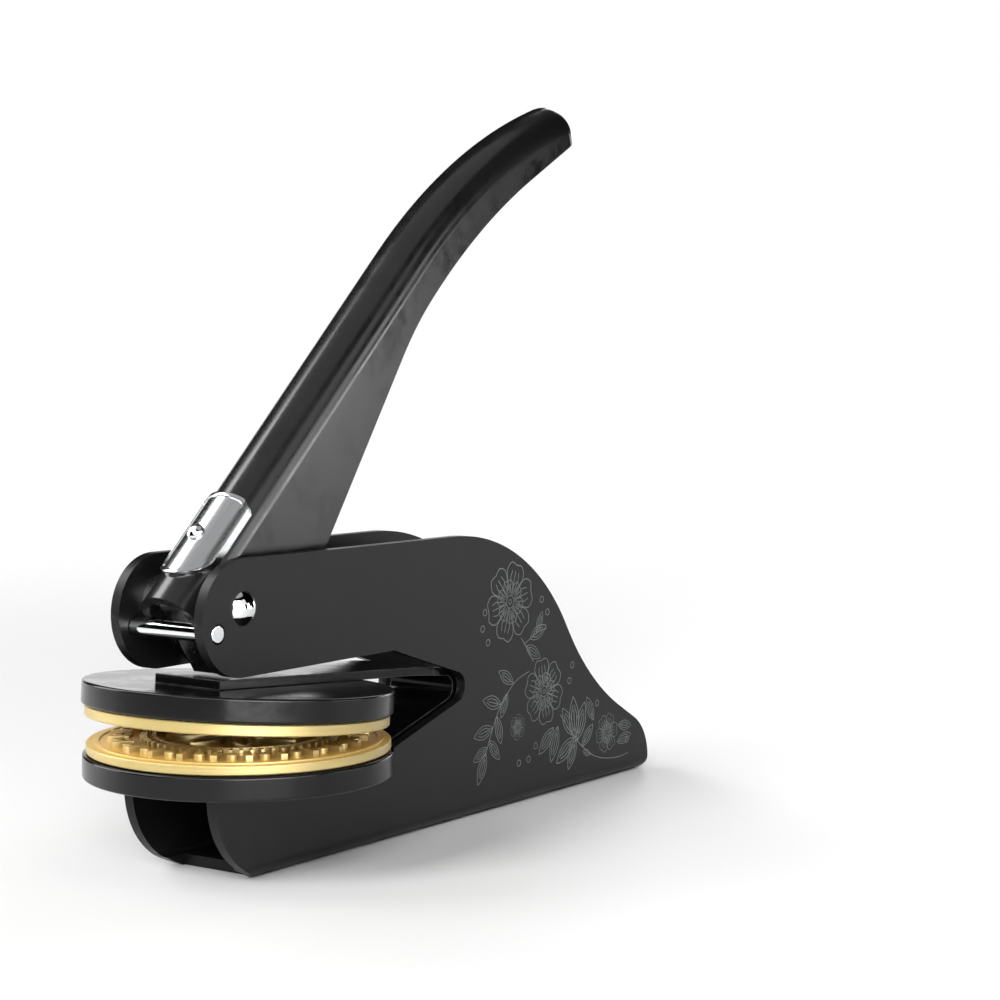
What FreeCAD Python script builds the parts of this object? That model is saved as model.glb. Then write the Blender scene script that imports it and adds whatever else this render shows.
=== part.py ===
"""Seal embosser: a folded steel frame, a hand lever with a press cam, and a die insert.

X runs from the dies to the heel, Y across the frame, Z up, in millimetres. The origin is on the
flat underside of the frame, below the centre of the dies.
"""
import FreeCAD, Part
import math
import os

V = FreeCAD.Vector
ACROSS = V(0, 1, 0)

# Frame: one blank of sheet steel, folded into a channel that is open on top and in front.
SHEET = 1.5
FRAME_WIDTH = 16.0
BEND_RADIUS = 2.2
NOSE_FRONT_X = -16.3
NOSE_CLEARANCE = 0.89
NOSE_HEIGHT = 15.6
NOSE_FLAT = 0.1
SHOULDER_X = 57.6
SHOULDER_FALL = 0.7
SHOULDER_RADIUS = 36.0
WAIST_X = 75.5
WAIST_Z = 16.5
WAIST_RADIUS = 44.0
HEEL_X = 93.6
HEEL_Z = 6.7
HEEL_RADIUS = 8.2
HEEL_CORNER_RADIUS = 1.5
SEAT_Z = 12.5
PROW_FRONT_X = -14.0
PROW_TOE_X = -4.9
PROW_LEAN_DEG = 25.2
PROW_RADIUS = 12.0
FLOOR_FRONT_X = -4.5
THROAT_PEAK_X = 24.1
THROAT_END_X = 41.3
THROAT_END_HEIGHT = 3.4
THROAT_RAMP_DEG = 16.4
THROAT_RADIUS = 2.0
EDGE_ROUND = 0.4

# Die insert: a hairpin strip that carries two round holders with brass dies.
DIE_RADIUS = 20.5
HOLDER_LIP = 0.5
HOLDER_THICKNESS = 3.2
HOLDER_EDGE = 0.3
DIE_EDGE = 0.15
LOWER_DIE_THICKNESS = 1.3
UPPER_DIE_THICKNESS = 1.5
PAD_INSET = 0.6
PAD_THICKNESS = 0.15
LEAF_WIDTH = 11.5
LEAF_THICKNESS = 1.3
LEAF_FRONT_X = -10.5
HAIRPIN_RADIUS = 2.4
HAIRPIN_FALL_DEG = 7.0
FLEX_X = 32.4
JAW_OPEN_DEG = 4.2
PAPER_GAP = 0.3
SEAT_CLEARANCE = 0.1
RAMP_CLEARANCE = 0.3
KNUCKLE_CLEARANCE = 0.06
SCREW_RADIUS = 1.0
SCREW_HEAD_RADIUS = 2.0
SCREW_BITE = 2.4
SCREW_SLOT_WIDTH = 0.5
SCREW_SLOT_DEPTH = 0.4
SCREW_FIRST_X = 5.0
SCREW_PITCH = 9.0

# Relief on the lower die, and its clearance in the pockets of the upper die.
RELIEF_HEIGHT = 0.8
POCKET_CLEARANCE = 0.3
RIM_INSET = 1.4
RIM_WIDTH = 0.7
RIM_HEIGHT = 0.2
BORDER_INSET = 4.3
BORDER_COUNT = 24
BAR_LENGTH = 2.8
BAR_WIDTH = 0.9
BEAD_RADIUS = 0.75
TICK_INSET = 7.6
TICK_COUNT = 60
TICK_LENGTH = 0.9
TICK_WIDTH = 0.45
CIRCLE_INSET = 9.1
CIRCLE_WIDTH = 0.5
PETAL_COUNT = 8
PETAL_INNER = 2.6
PETAL_INSET = 10.7
PETAL_WIDTH = 2.7
PETAL_WALL = 0.5
HUB_RADIUS = 1.5

# Hand lever: a channel with a round front, pressed from sheet steel.
PIVOT_X = -8.25
PIVOT_RISE = 9.0
LEVER_REST_DEG = 43.1
LEVER_TRAVEL_DEG = 40.0
LEVER_WIDTH = 9.0
LEVER_SHEET = 1.2
LEVER_FRONT = 6.75
LEVER_MOUTH = -4.8
LEVER_STRAIGHT = 63.0
LEVER_CURVE_RADIUS = 103.0
LEVER_CURVE_DEG = 25.2
LEVER_REAR_FLAT = 0.9
LEVER_REAR_RADIUS = 112.0
LEVER_REAR_DEG = 15.3
LEVER_TIP_LEAN_DEG = 60.0
LEVER_TIP_CORNER = 6.0
LEVER_TIP_CLEAR = 15.0
LEVER_DEPTH = 8.5
LEVER_TAPER_DEG = 12.7
LEVER_TAPER_END = 56.2
LEVER_TAPER_RADIUS = 52.0
LEVER_TAPER_START = 12.0
LUG_BACK = 7.6
LUG_RADIUS = 3.0
LUG_CORNER = 1.5
BOSS_RADIUS = 4.2

# Pivot, stop and cam.
RIVET_RADIUS = 1.5
RIVET_HEAD_RADIUS = 2.3
RIVET_HEAD_HEIGHT = 1.25
SLEEVE_RADIUS = 2.2
RUNNING_CLEARANCE = 0.05
SPACER_RADIUS = 3.6
SPACER_PLAY = 0.1
STOP_X = -13.3
STOP_RISE = 6.15
STOP_RADIUS = 1.2
STOP_CLEARANCE = 0.3
CAM_PLAY = 0.1
CAM_GAP = 0.25
CAM_BOSS_RADIUS = 3.9
CAM_PIN_RADIUS = 1.1
CAM_POINTS = 9
CAM_RUNOUT_DEG = 3.0

# Nameplate on the front of the lever.
NAMEPLATE_START = -0.8
NAMEPLATE_LENGTH = 14.4
NAMEPLATE_THICKNESS = 0.6
NAMEPLATE_WRAP_DEG = 52.0
NAMEPLATE_CORNER = 1.2
NAMEPLATE_RIVET_AT = 7.1
NAMEPLATE_RIVET_RADIUS = 1.2
NAMEPLATE_RIVET_HEIGHT = 0.7
NAMEPLATE_SHANK_RADIUS = 0.7
NAMEPLATE_SHANK_TAIL = 0.5

# Worked out from the dimensions above.
HALF_WIDTH = FRAME_WIDTH / 2
HALF_GAP = HALF_WIDTH - SHEET
HALF_LEAF = LEAF_THICKNESS / 2
HOLDER_RADIUS = DIE_RADIUS + HOLDER_LIP
RIM_RADIUS = DIE_RADIUS - RIM_INSET
BORDER_RADIUS = DIE_RADIUS - BORDER_INSET
TICK_RADIUS = DIE_RADIUS - TICK_INSET
CIRCLE_RADIUS = DIE_RADIUS - CIRCLE_INSET
PETAL_OUTER = DIE_RADIUS - PETAL_INSET
HOLDER_Z = SEAT_Z + SEAT_CLEARANCE
LOWER_PAD_Z = HOLDER_Z + HOLDER_THICKNESS
LOWER_DIE_Z = LOWER_PAD_Z + PAD_THICKNESS
LOWER_FACE_Z = LOWER_DIE_Z + LOWER_DIE_THICKNESS
UPPER_FACE_Z = LOWER_FACE_Z + PAPER_GAP
UPPER_PAD_Z = UPPER_FACE_Z + UPPER_DIE_THICKNESS
UPPER_HOLDER_Z = UPPER_PAD_Z + PAD_THICKNESS
UPPER_LEAF_Z = UPPER_HOLDER_Z + HOLDER_THICKNESS
FLEX = V(FLEX_X, 0, UPPER_LEAF_Z + HALF_LEAF)
JAW_OPEN = math.radians(JAW_OPEN_DEG)
JAW_TOP_Z = FLEX.z + (FLEX_X + HOLDER_RADIUS) * math.sin(JAW_OPEN) - HALF_LEAF * math.cos(JAW_OPEN)
NOSE_BOTTOM_Z = JAW_TOP_Z + NOSE_CLEARANCE
NOSE_TOP_Z = NOSE_BOTTOM_Z + NOSE_HEIGHT
NOSE_RADIUS = (NOSE_HEIGHT - NOSE_FLAT) / 2
SHOULDER_Z = NOSE_TOP_Z - SHOULDER_FALL
PIVOT_Z = NOSE_BOTTOM_Z + PIVOT_RISE
STOP_Z = NOSE_BOTTOM_Z + STOP_RISE
SEAT_END_X = HOLDER_RADIUS + RAMP_CLEARANCE
PIVOT = V(PIVOT_X, 0, PIVOT_Z)
LEVER_RADIUS = LEVER_WIDTH / 2
LEVER_REAR = LEVER_FRONT - LEVER_DEPTH
CAM_PIN_AT = (0.0, -LUG_BACK)
NAMEPLATE_RIVET_X = NAMEPLATE_START + NAMEPLATE_RIVET_AT


def point(x, z):
    """Point in the mid-plane."""
    return V(x, 0, z)


def rounded_edges(corners, closed=True):
    """Straight runs through corners (x, z, radius), joined by tangent arcs."""
    count = len(corners)
    starts, arcs, ends = [], [], []
    for i, (x, z, radius) in enumerate(corners):
        here = point(x, z)
        if radius == 0 or (not closed and i in (0, count - 1)):
            starts.append(here)
            ends.append(here)
            arcs.append(None)
            continue
        back = (point(*corners[i - 1][:2]) - here).normalize()
        ahead = (point(*corners[(i + 1) % count][:2]) - here).normalize()
        half = back.getAngle(ahead) / 2
        bisector = (back + ahead).normalize()
        reach = radius / math.tan(half)
        middle = here + bisector * (radius / math.sin(half) - radius)
        starts.append(here + back * reach)
        ends.append(here + ahead * reach)
        arcs.append(Part.Arc(starts[-1], middle, ends[-1]).toShape())
    edges = []
    for i in range(count if closed else count - 1):
        if arcs[i]:
            edges.append(arcs[i])
        following = starts[(i + 1) % count]
        if ends[i].distanceToPoint(following) > 1e-6:
            edges.append(Part.LineSegment(ends[i], following).toShape())
    return edges


def plate(edges, y_low, y_high):
    """Flat plate with the given outline, between two distances across the frame."""
    face = Part.Face(Part.Wire(edges))
    face.translate(ACROSS * y_low)
    return face.extrude(ACROSS * (y_high - y_low))


def centred_plate(edges, width):
    """Flat plate that is centred on the mid-plane."""
    return plate(edges, -width / 2, width / 2)


def cross_cylinder(x, z, radius, y_low, y_high):
    """Cylinder across the frame."""
    return Part.makeCylinder(radius, y_high - y_low, V(x, y_low, z), ACROSS)


def disc(radius, height, z, edge=0.0):
    """Flat disc under the centre of the dies, with its rims eased."""
    shape = Part.makeCylinder(radius, height, V(0, 0, z))
    if edge:
        rims = [e for e in shape.Edges if isinstance(e.Curve, Part.Circle)]
        shape = shape.makeChamfer(edge, rims)
    return shape


def dome(radius, height, base, direction):
    """Domed head on a round base."""
    sphere_radius = (radius ** 2 + height ** 2) / (2 * height)
    centre = base + direction * (height - sphere_radius)
    cap = Part.makeSphere(sphere_radius, centre)
    return cap.common(Part.makeCylinder(radius, height, base, direction))


def frame_corners():
    """Side outline of the frame, from the nose round the heel and back through the throat."""
    ramp_top = SEAT_Z + (THROAT_END_X - SEAT_END_X) * math.tan(math.radians(THROAT_RAMP_DEG))
    prow_rise = (PROW_TOE_X - PROW_FRONT_X) * math.tan(math.radians(PROW_LEAN_DEG))
    return [
        (NOSE_FRONT_X, NOSE_BOTTOM_Z, NOSE_RADIUS),
        (NOSE_FRONT_X, NOSE_TOP_Z, NOSE_RADIUS),
        (SHOULDER_X, SHOULDER_Z, SHOULDER_RADIUS),
        (WAIST_X, WAIST_Z, WAIST_RADIUS),
        (HEEL_X, HEEL_Z, HEEL_RADIUS),
        (HEEL_X, 0, HEEL_CORNER_RADIUS),
        (PROW_TOE_X, 0, EDGE_ROUND),
        (PROW_FRONT_X, prow_rise, PROW_RADIUS),
        (PROW_FRONT_X, SEAT_Z, EDGE_ROUND),
        (SEAT_END_X, SEAT_Z, EDGE_ROUND),
        (THROAT_END_X, ramp_top, THROAT_RADIUS),
        (THROAT_END_X, ramp_top + THROAT_END_HEIGHT, THROAT_RADIUS),
        (THROAT_PEAK_X, NOSE_BOTTOM_Z, THROAT_RADIUS),
    ]


def trough(half_width, bottom_z, bend_radius):
    """Long block with both of its lower edges rounded."""
    length = HEEL_X - NOSE_FRONT_X
    height = NOSE_TOP_Z + SHEET - bottom_z
    block = Part.makeBox(length, 2 * half_width, height, V(NOSE_FRONT_X, -half_width, bottom_z))
    low_edges = [e for e in block.Edges if e.BoundBox.ZMax < bottom_z + SHEET and e.BoundBox.XLength > SHEET]
    return block.makeFillet(bend_radius, low_edges)


def frame():
    """Folded frame with its pivot and stop holes."""
    channel = trough(HALF_WIDTH, 0, BEND_RADIUS).cut(trough(HALF_GAP, SHEET, BEND_RADIUS - SHEET))
    body = channel.common(centred_plate(rounded_edges(frame_corners()), FRAME_WIDTH))
    floor_width = FRAME_WIDTH - 2 * BEND_RADIUS
    front = V(PROW_FRONT_X, -floor_width / 2, 0)
    body = body.cut(Part.makeBox(FLOOR_FRONT_X - PROW_FRONT_X, floor_width, SHEET, front))
    for x, z, radius in ((PIVOT_X, PIVOT_Z, RIVET_RADIUS), (STOP_X, STOP_Z, STOP_RADIUS)):
        body = body.cut(cross_cylinder(x, z, radius, -FRAME_WIDTH, FRAME_WIDTH))
    return body.removeSplitter()


def lever_turn(shape):
    """Turn a shape from the lever's own axes to its rest place on the pivot."""
    shape = shape.copy()
    shape.rotate(V(0, 0, 0), ACROSS, -LEVER_REST_DEG)
    shape.translate(PIVOT)
    return shape


def lever_form(radius, front, start, depth):
    """Round-fronted bar along the lever, straight and then curved, with a domed tip."""
    low = front - depth
    centre = front - radius
    half_arch = Part.Arc(V(start, -radius, centre), V(start, 0, front), V(start, radius, centre))
    sides = [
        Part.LineSegment(V(start, radius, centre), V(start, radius, low)),
        Part.LineSegment(V(start, radius, low), V(start, -radius, low)),
        Part.LineSegment(V(start, -radius, low), V(start, -radius, centre)),
    ]
    section = Part.Face(Part.Wire([e.toShape() for e in [half_arch] + sides]))
    straight = section.extrude(V(LEVER_STRAIGHT - start, 0, 0))
    section.translate(V(LEVER_STRAIGHT - start, 0, 0))
    turn_centre = point(LEVER_STRAIGHT, LEVER_FRONT - LEVER_CURVE_RADIUS)
    curved = section.revolve(turn_centre, ACROSS, LEVER_CURVE_DEG)
    x = LEVER_STRAIGHT
    bow = radius * math.sqrt(0.5)
    outline = [
        Part.Arc(point(x, front), point(x + bow, centre + bow), point(x + radius, centre)),
        Part.LineSegment(point(x + radius, centre), point(x + radius, low)),
        Part.LineSegment(point(x + radius, low), point(x, low)),
        Part.LineSegment(point(x, low), point(x, front)),
    ]
    half_face = Part.Face(Part.Wire([e.toShape() for e in outline]))
    half_face.rotate(point(x, 0), V(0, 0, 1), -90)
    tip = half_face.revolve(point(x, 0), V(0, 0, 1), 180)
    tip.rotate(turn_centre, ACROSS, LEVER_CURVE_DEG)
    return straight.fuse([curved, tip])


def crossing(first, first_deg, second, second_deg):
    """Point where a line through first meets a line through second. Angles are below +X."""
    ahead = V(math.cos(math.radians(first_deg)), 0, -math.sin(math.radians(first_deg)))
    across = V(math.sin(math.radians(second_deg)), 0, math.cos(math.radians(second_deg)))
    return first + ahead * ((second - first).dot(across) / ahead.dot(across))


def lever_corners():
    """Side outline of the lever in its own axes, with the pivot at 0, 0."""
    above = LEVER_FRONT + LEVER_SHEET
    lug_low = -LUG_BACK - LUG_RADIUS
    taper_fall = (LEVER_TAPER_END - LEVER_TAPER_START) * math.tan(math.radians(LEVER_TAPER_DEG))
    taper_reach = LEVER_TAPER_RADIUS * math.tan(math.radians(LEVER_TAPER_DEG) / 2)
    rear_reach = LEVER_REAR_RADIUS * math.tan(math.radians(LEVER_REAR_DEG) / 2)
    rear = point(LEVER_TAPER_END + taper_reach + LEVER_REAR_FLAT + rear_reach, LEVER_REAR)
    tip = point(LEVER_STRAIGHT + LEVER_RADIUS, LEVER_FRONT - LEVER_RADIUS)
    turn_centre = point(LEVER_STRAIGHT, LEVER_FRONT - LEVER_CURVE_RADIUS)
    tip = turn_centre + FreeCAD.Rotation(ACROSS, LEVER_CURVE_DEG).multVec(tip - turn_centre)
    end_deg = LEVER_CURVE_DEG + 90 + LEVER_TIP_LEAN_DEG
    end = math.radians(end_deg)
    clear = tip - point(math.cos(end), -math.sin(end)) * LEVER_TIP_CLEAR
    low = crossing(rear, LEVER_REAR_DEG, tip, end_deg)
    return [
        (LEVER_MOUTH, above, 0),
        (clear.x, above, 0),
        (clear.x, clear.z, 0),
        (low.x, low.z, LEVER_TIP_CORNER),
        (rear.x, rear.z, LEVER_REAR_RADIUS),
        (LEVER_TAPER_END, LEVER_REAR, LEVER_TAPER_RADIUS),
        (LEVER_TAPER_START, LEVER_REAR - taper_fall, LUG_RADIUS),
        (LUG_RADIUS, lug_low, LUG_CORNER),
        (-LUG_RADIUS, lug_low, LUG_RADIUS - LUG_CORNER),
        (-BOSS_RADIUS, -BOSS_RADIUS / 2, LUG_CORNER),
        (LEVER_MOUTH, 0, 0),
    ]


def stop_slot(width):
    """Path of the stop pin through the lever while the lever turns, with clearance."""
    reach = math.hypot(STOP_X - PIVOT_X, STOP_Z - PIVOT_Z)
    cut_radius = STOP_RADIUS + STOP_CLEARANCE
    ring = Part.makeCylinder(reach + cut_radius, width, V(0, -width / 2, 0), ACROSS, LEVER_TRAVEL_DEG)
    ring = ring.cut(Part.makeCylinder(reach - cut_radius, width, V(0, -width / 2, 0), ACROSS))
    # A partial cylinder starts on +Z and opens towards +X, so it is turned to the pin's direction.
    pin_deg = math.degrees(math.atan2(STOP_X - PIVOT_X, STOP_Z - PIVOT_Z))
    ring.rotate(V(0, 0, 0), ACROSS, pin_deg - LEVER_TRAVEL_DEG)
    ring.translate(PIVOT)
    slot = ring
    for turned in (0.0, LEVER_TRAVEL_DEG):
        end = cross_cylinder(STOP_X, STOP_Z, cut_radius, -width / 2, width / 2)
        end.rotate(PIVOT, ACROSS, -turned)
        slot = slot.fuse(end)
    return slot


def lever_core(inset):
    """Solid bar with the form of the lever, smaller by an inset all round."""
    depth = 2 * LEVER_CURVE_RADIUS * math.sin(math.radians(LEVER_CURVE_DEG) / 2)
    return lever_form(LEVER_RADIUS - inset, LEVER_FRONT - inset, LEVER_MOUTH - inset, depth)


def lever():
    """Pressed lever with its sleeve, cam pin and nameplate rivet holes."""
    outline = centred_plate(rounded_edges(lever_corners()), LEVER_WIDTH)
    shell = lever_core(0).cut(lever_core(LEVER_SHEET)).common(outline)
    bore = SLEEVE_RADIUS + RUNNING_CLEARANCE
    for x, z, radius in ((0, 0, bore), CAM_PIN_AT + (CAM_PIN_RADIUS,)):
        shell = shell.cut(cross_cylinder(x, z, radius, -LEVER_WIDTH, LEVER_WIDTH))
    rivet_hole = Part.makeCylinder(NAMEPLATE_SHANK_RADIUS, LEVER_FRONT, point(NAMEPLATE_RIVET_X, 0))
    shell = lever_turn(shell.cut(rivet_hole))
    return shell.cut(stop_slot(LEVER_WIDTH)).removeSplitter()


def cam_outline():
    """Outline of the cam at rest, which keeps the same gap to the upper leaf over the whole travel."""
    ratio = JAW_OPEN_DEG / LEVER_TRAVEL_DEG
    runout = math.radians(CAM_RUNOUT_DEG)
    first = -JAW_OPEN - runout
    last = math.radians(LEVER_TRAVEL_DEG) + runout
    arm = PIVOT - FLEX
    curve = []
    for i in range(CAM_POINTS):
        turn = first + (last - first) * i / (CAM_POINTS - 1)
        jaw = JAW_OPEN - ratio * (turn + JAW_OPEN) / (1 + ratio)
        lift = arm.x * math.sin(jaw) + arm.z * math.cos(jaw) - HALF_LEAF - CAM_GAP
        slope = -ratio / (1 + ratio) * (arm.x * math.cos(jaw) - arm.z * math.sin(jaw))
        down = V(math.sin(turn), 0, -math.cos(turn))
        along = V(math.cos(turn), 0, math.sin(turn))
        curve.append(PIVOT + down * lift + along * slope)
    pressing = Part.BSplineCurve()
    pressing.interpolate(curve)
    diagonal = CAM_BOSS_RADIUS * math.sqrt(0.5)
    front = PIVOT + V(-CAM_BOSS_RADIUS, 0, 0)
    crown = PIVOT + V(-diagonal, 0, diagonal)
    rear = PIVOT + V(diagonal, 0, diagonal)
    return [
        pressing.toShape(),
        Part.LineSegment(curve[-1], rear).toShape(),
        Part.Arc(rear, crown, front).toShape(),
        Part.LineSegment(front, curve[0]).toShape(),
    ]


def press_cam():
    """Cam block that fills the lever round its pivot."""
    filling = lever_turn(lever_core(LEVER_SHEET + CAM_PLAY))
    block = centred_plate(cam_outline(), LEVER_WIDTH).common(filling)
    bore = SLEEVE_RADIUS + RUNNING_CLEARANCE
    block = block.cut(cross_cylinder(PIVOT_X, PIVOT_Z, bore, -LEVER_WIDTH, LEVER_WIDTH))
    return block.cut(lever_turn(cross_cylinder(*CAM_PIN_AT, CAM_PIN_RADIUS, -LEVER_WIDTH, LEVER_WIDTH)))


def cam_pin():
    """Pin that holds the cam block in the lever, flush with the lever's sides."""
    return lever_turn(cross_cylinder(*CAM_PIN_AT, CAM_PIN_RADIUS, -LEVER_RADIUS, LEVER_RADIUS))


def pivot_rivet():
    """Rivet through both sides of the frame, with a dome at each end."""
    rivet = cross_cylinder(PIVOT_X, PIVOT_Z, RIVET_RADIUS, -HALF_WIDTH, HALF_WIDTH)
    for sign in (-1, 1):
        base = PIVOT + ACROSS * (sign * HALF_WIDTH)
        rivet = rivet.fuse(dome(RIVET_HEAD_RADIUS, RIVET_HEAD_HEIGHT, base, ACROSS * sign))
    return rivet.removeSplitter()


def tube(outer, inner, y_low, y_high):
    """Tube round the pivot."""
    return cross_cylinder(PIVOT_X, PIVOT_Z, outer, y_low, y_high).cut(
        cross_cylinder(PIVOT_X, PIVOT_Z, inner, y_low, y_high))


def pivot_sleeve():
    """Sleeve on the rivet that keeps the sides of the frame apart."""
    return tube(SLEEVE_RADIUS, RIVET_RADIUS, -HALF_GAP, HALF_GAP)


def lever_spacer(sign):
    """Spacer on the sleeve, between a side of the frame and the lever."""
    ends = sorted((sign * (LEVER_RADIUS + SPACER_PLAY), sign * HALF_GAP))
    return tube(SPACER_RADIUS, SLEEVE_RADIUS, *ends)


def stop_pin():
    """Cross pin that the mouth of the lever meets at rest."""
    return cross_cylinder(STOP_X, STOP_Z, STOP_RADIUS, -HALF_WIDTH, HALF_WIDTH)


def nameplate():
    """Bare plate wrapped round the front of the lever, with a half-round lower end."""
    centre_z = LEVER_FRONT - LEVER_RADIUS
    outer_radius = LEVER_RADIUS + NAMEPLATE_THICKNESS
    along = V(1, 0, 0)
    start = point(NAMEPLATE_START, centre_z)
    ring = Part.makeCylinder(outer_radius, NAMEPLATE_LENGTH, start, along)
    ring = ring.cut(Part.makeCylinder(LEVER_RADIUS, NAMEPLATE_LENGTH, start, along))
    half = outer_radius * math.sin(math.radians(NAMEPLATE_WRAP_DEG))
    end = NAMEPLATE_START + NAMEPLATE_LENGTH
    blank = Part.Face(Part.Wire(rounded_edges([
        (NAMEPLATE_START, -half, half),
        (end, -half, NAMEPLATE_CORNER),
        (end, half, NAMEPLATE_CORNER),
        (NAMEPLATE_START, half, half),
    ])))
    blank.rotate(V(0, 0, 0), along, -90)
    blank.translate(V(0, 0, centre_z))
    blank = blank.extrude(V(0, 0, LEVER_WIDTH))
    at = point(NAMEPLATE_RIVET_X, 0)
    shank = Part.makeCylinder(NAMEPLATE_SHANK_RADIUS, LEVER_FRONT + LEVER_WIDTH, at)
    return lever_turn(ring.common(blank).cut(shank))


def nameplate_rivet():
    """Small domed rivet that holds the nameplate on the lever."""
    face = LEVER_FRONT + NAMEPLATE_THICKNESS
    tail = LEVER_FRONT - LEVER_SHEET - NAMEPLATE_SHANK_TAIL
    shank = Part.makeCylinder(NAMEPLATE_SHANK_RADIUS, face - tail, point(NAMEPLATE_RIVET_X, tail))
    head = dome(NAMEPLATE_RIVET_RADIUS, NAMEPLATE_RIVET_HEIGHT, point(NAMEPLATE_RIVET_X, face), V(0, 0, 1))
    return lever_turn(shank.fuse(head).removeSplitter())


def open_jaw(shape):
    """Turn a piece of the upper jaw from shut to its rest place."""
    shape = shape.copy()
    shape.rotate(FLEX, ACROSS, JAW_OPEN_DEG)
    return shape


def screw_places():
    """Places of the two screws of each leaf, along the leaf."""
    return [SCREW_FIRST_X + SCREW_PITCH * i for i in range(2)]


def screw(x, z, up):
    """Countersunk screw with a slot, its head flush with the leaf at height z."""
    inward = V(0, 0, -up)
    top = point(x, z)
    cone_height = SCREW_HEAD_RADIUS - SCREW_RADIUS
    head = Part.makeCone(SCREW_HEAD_RADIUS, SCREW_RADIUS, cone_height, top, inward)
    shank = Part.makeCylinder(SCREW_RADIUS, LEAF_THICKNESS + SCREW_BITE, top, inward)
    slot = Part.makeBox(2 * SCREW_HEAD_RADIUS, SCREW_SLOT_WIDTH, 2 * SCREW_SLOT_DEPTH)
    slot.translate(top - V(SCREW_HEAD_RADIUS, SCREW_SLOT_WIDTH / 2, SCREW_SLOT_DEPTH))
    return head.fuse(shank), slot


def leaf_screws(z, up):
    """Both screws of a leaf, as separate solids."""
    solids = []
    for x in screw_places():
        body, slot = screw(x, z, up)
        solids.append(body.cut(slot).removeSplitter())
    return Part.makeCompound(solids)


def drilled(shape, z, up):
    """Cut the screw holes of one jaw out of a leaf or a holder."""
    for x in screw_places():
        shape = shape.cut(screw(x, z, up)[0])
    return shape


def holder(z, leaf_face_z, up):
    """Round holder, drilled for the screws of its leaf."""
    return drilled(disc(HOLDER_RADIUS, HOLDER_THICKNESS, z, HOLDER_EDGE), leaf_face_z, up)


def pad(z):
    """Adhesive pad between a holder and its die."""
    return disc(DIE_RADIUS - PAD_INSET, PAD_THICKNESS, z)


def ring_block(radius, width, height, z):
    """Raised ring round the centre of the dies."""
    return Part.makeCylinder(radius + width / 2, height, V(0, 0, z)).cut(
        Part.makeCylinder(radius - width / 2, height, V(0, 0, z)))


def bar_block(radius, length, width, height, z):
    """Raised bar that points at the centre of the dies."""
    return Part.makeBox(length, width, height, V(radius - length / 2, -width / 2, z))


def petal_face(grow, z):
    """Leaf shape between two arcs, along X."""
    inner, outer = PETAL_INNER - grow, PETAL_OUTER + grow
    middle, bulge = (inner + outer) / 2, PETAL_WIDTH / 2 + grow
    arcs = [Part.Arc(V(inner, 0, z), V(middle, side * bulge, z), V(outer, 0, z)) for side in (1, -1)]
    return Part.Face(Part.Wire([a.toShape() for a in arcs]))


def petal_block(grow, height, z):
    """Raised outline of one petal."""
    solid = petal_face(grow, z).extrude(V(0, 0, height))
    return solid.cut(petal_face(-PETAL_WALL - grow, z).extrude(V(0, 0, height)))


def ring_of(shape, count, first_deg=0.0):
    """Copies of a shape, evenly spaced round the centre of the dies."""
    copies = []
    for i in range(count):
        copy = shape.copy()
        copy.rotate(V(0, 0, 0), V(0, 0, 1), first_deg + 360.0 * i / count)
        copies.append(copy)
    return copies


def relief(grow, height, z):
    """Raised work inside the rim of the lower die, grown by a clearance. Grown ticks are one ring."""
    bar = bar_block(BORDER_RADIUS, BAR_LENGTH + 2 * grow, BAR_WIDTH + 2 * grow, height, z)
    bead = Part.makeCylinder(BEAD_RADIUS + grow, height, V(BORDER_RADIUS, 0, z))
    tick = bar_block(TICK_RADIUS, TICK_LENGTH + 2 * grow, TICK_WIDTH, height, z)
    between = 180.0 / BORDER_COUNT
    rings = [ring_block(CIRCLE_RADIUS, CIRCLE_WIDTH + 2 * grow, height, z),
             Part.makeCylinder(HUB_RADIUS + grow, height, V(0, 0, z))]
    if grow:
        rings.append(ring_block(TICK_RADIUS, TICK_LENGTH + 2 * grow, height, z))
    else:
        rings += ring_of(tick, TICK_COUNT)
    return (rings + ring_of(bar, BORDER_COUNT) + ring_of(bead, BORDER_COUNT, between)
            + ring_of(petal_block(grow, height, z), PETAL_COUNT))


def lower_die():
    """Brass die with a low rim and raised work."""
    base = disc(DIE_RADIUS, LOWER_DIE_THICKNESS, LOWER_DIE_Z, DIE_EDGE)
    sunk = LOWER_DIE_THICKNESS / 2
    rim = ring_block(RIM_RADIUS, RIM_WIDTH, RIM_HEIGHT + sunk, LOWER_FACE_Z - sunk)
    work = [rim] + relief(0.0, RELIEF_HEIGHT + sunk, LOWER_FACE_Z - sunk)
    return base.fuse(work).removeSplitter()


def upper_die():
    """Brass counter-die with a pocket over every raised mark of the lower die."""
    base = disc(DIE_RADIUS, UPPER_DIE_THICKNESS, UPPER_FACE_Z, DIE_EDGE)
    depth = RELIEF_HEIGHT - PAPER_GAP + POCKET_CLEARANCE
    return open_jaw(base.cut(relief(POCKET_CLEARANCE, 2 * depth, UPPER_FACE_Z - depth)))


def strip_sweep(corners):
    """Flat strip swept along a centre line of straight runs and arcs."""
    path = Part.Wire(rounded_edges(corners, closed=False))
    x, z = corners[0][:2]
    low, half = z - HALF_LEAF, LEAF_WIDTH / 2
    section = Part.makePolygon([V(x, -half, low), V(x, half, low), V(x, half, low + LEAF_THICKNESS),
                                V(x, -half, low + LEAF_THICKNESS), V(x, -half, low)])
    return path.makePipeShell([section], True, False)


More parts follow.
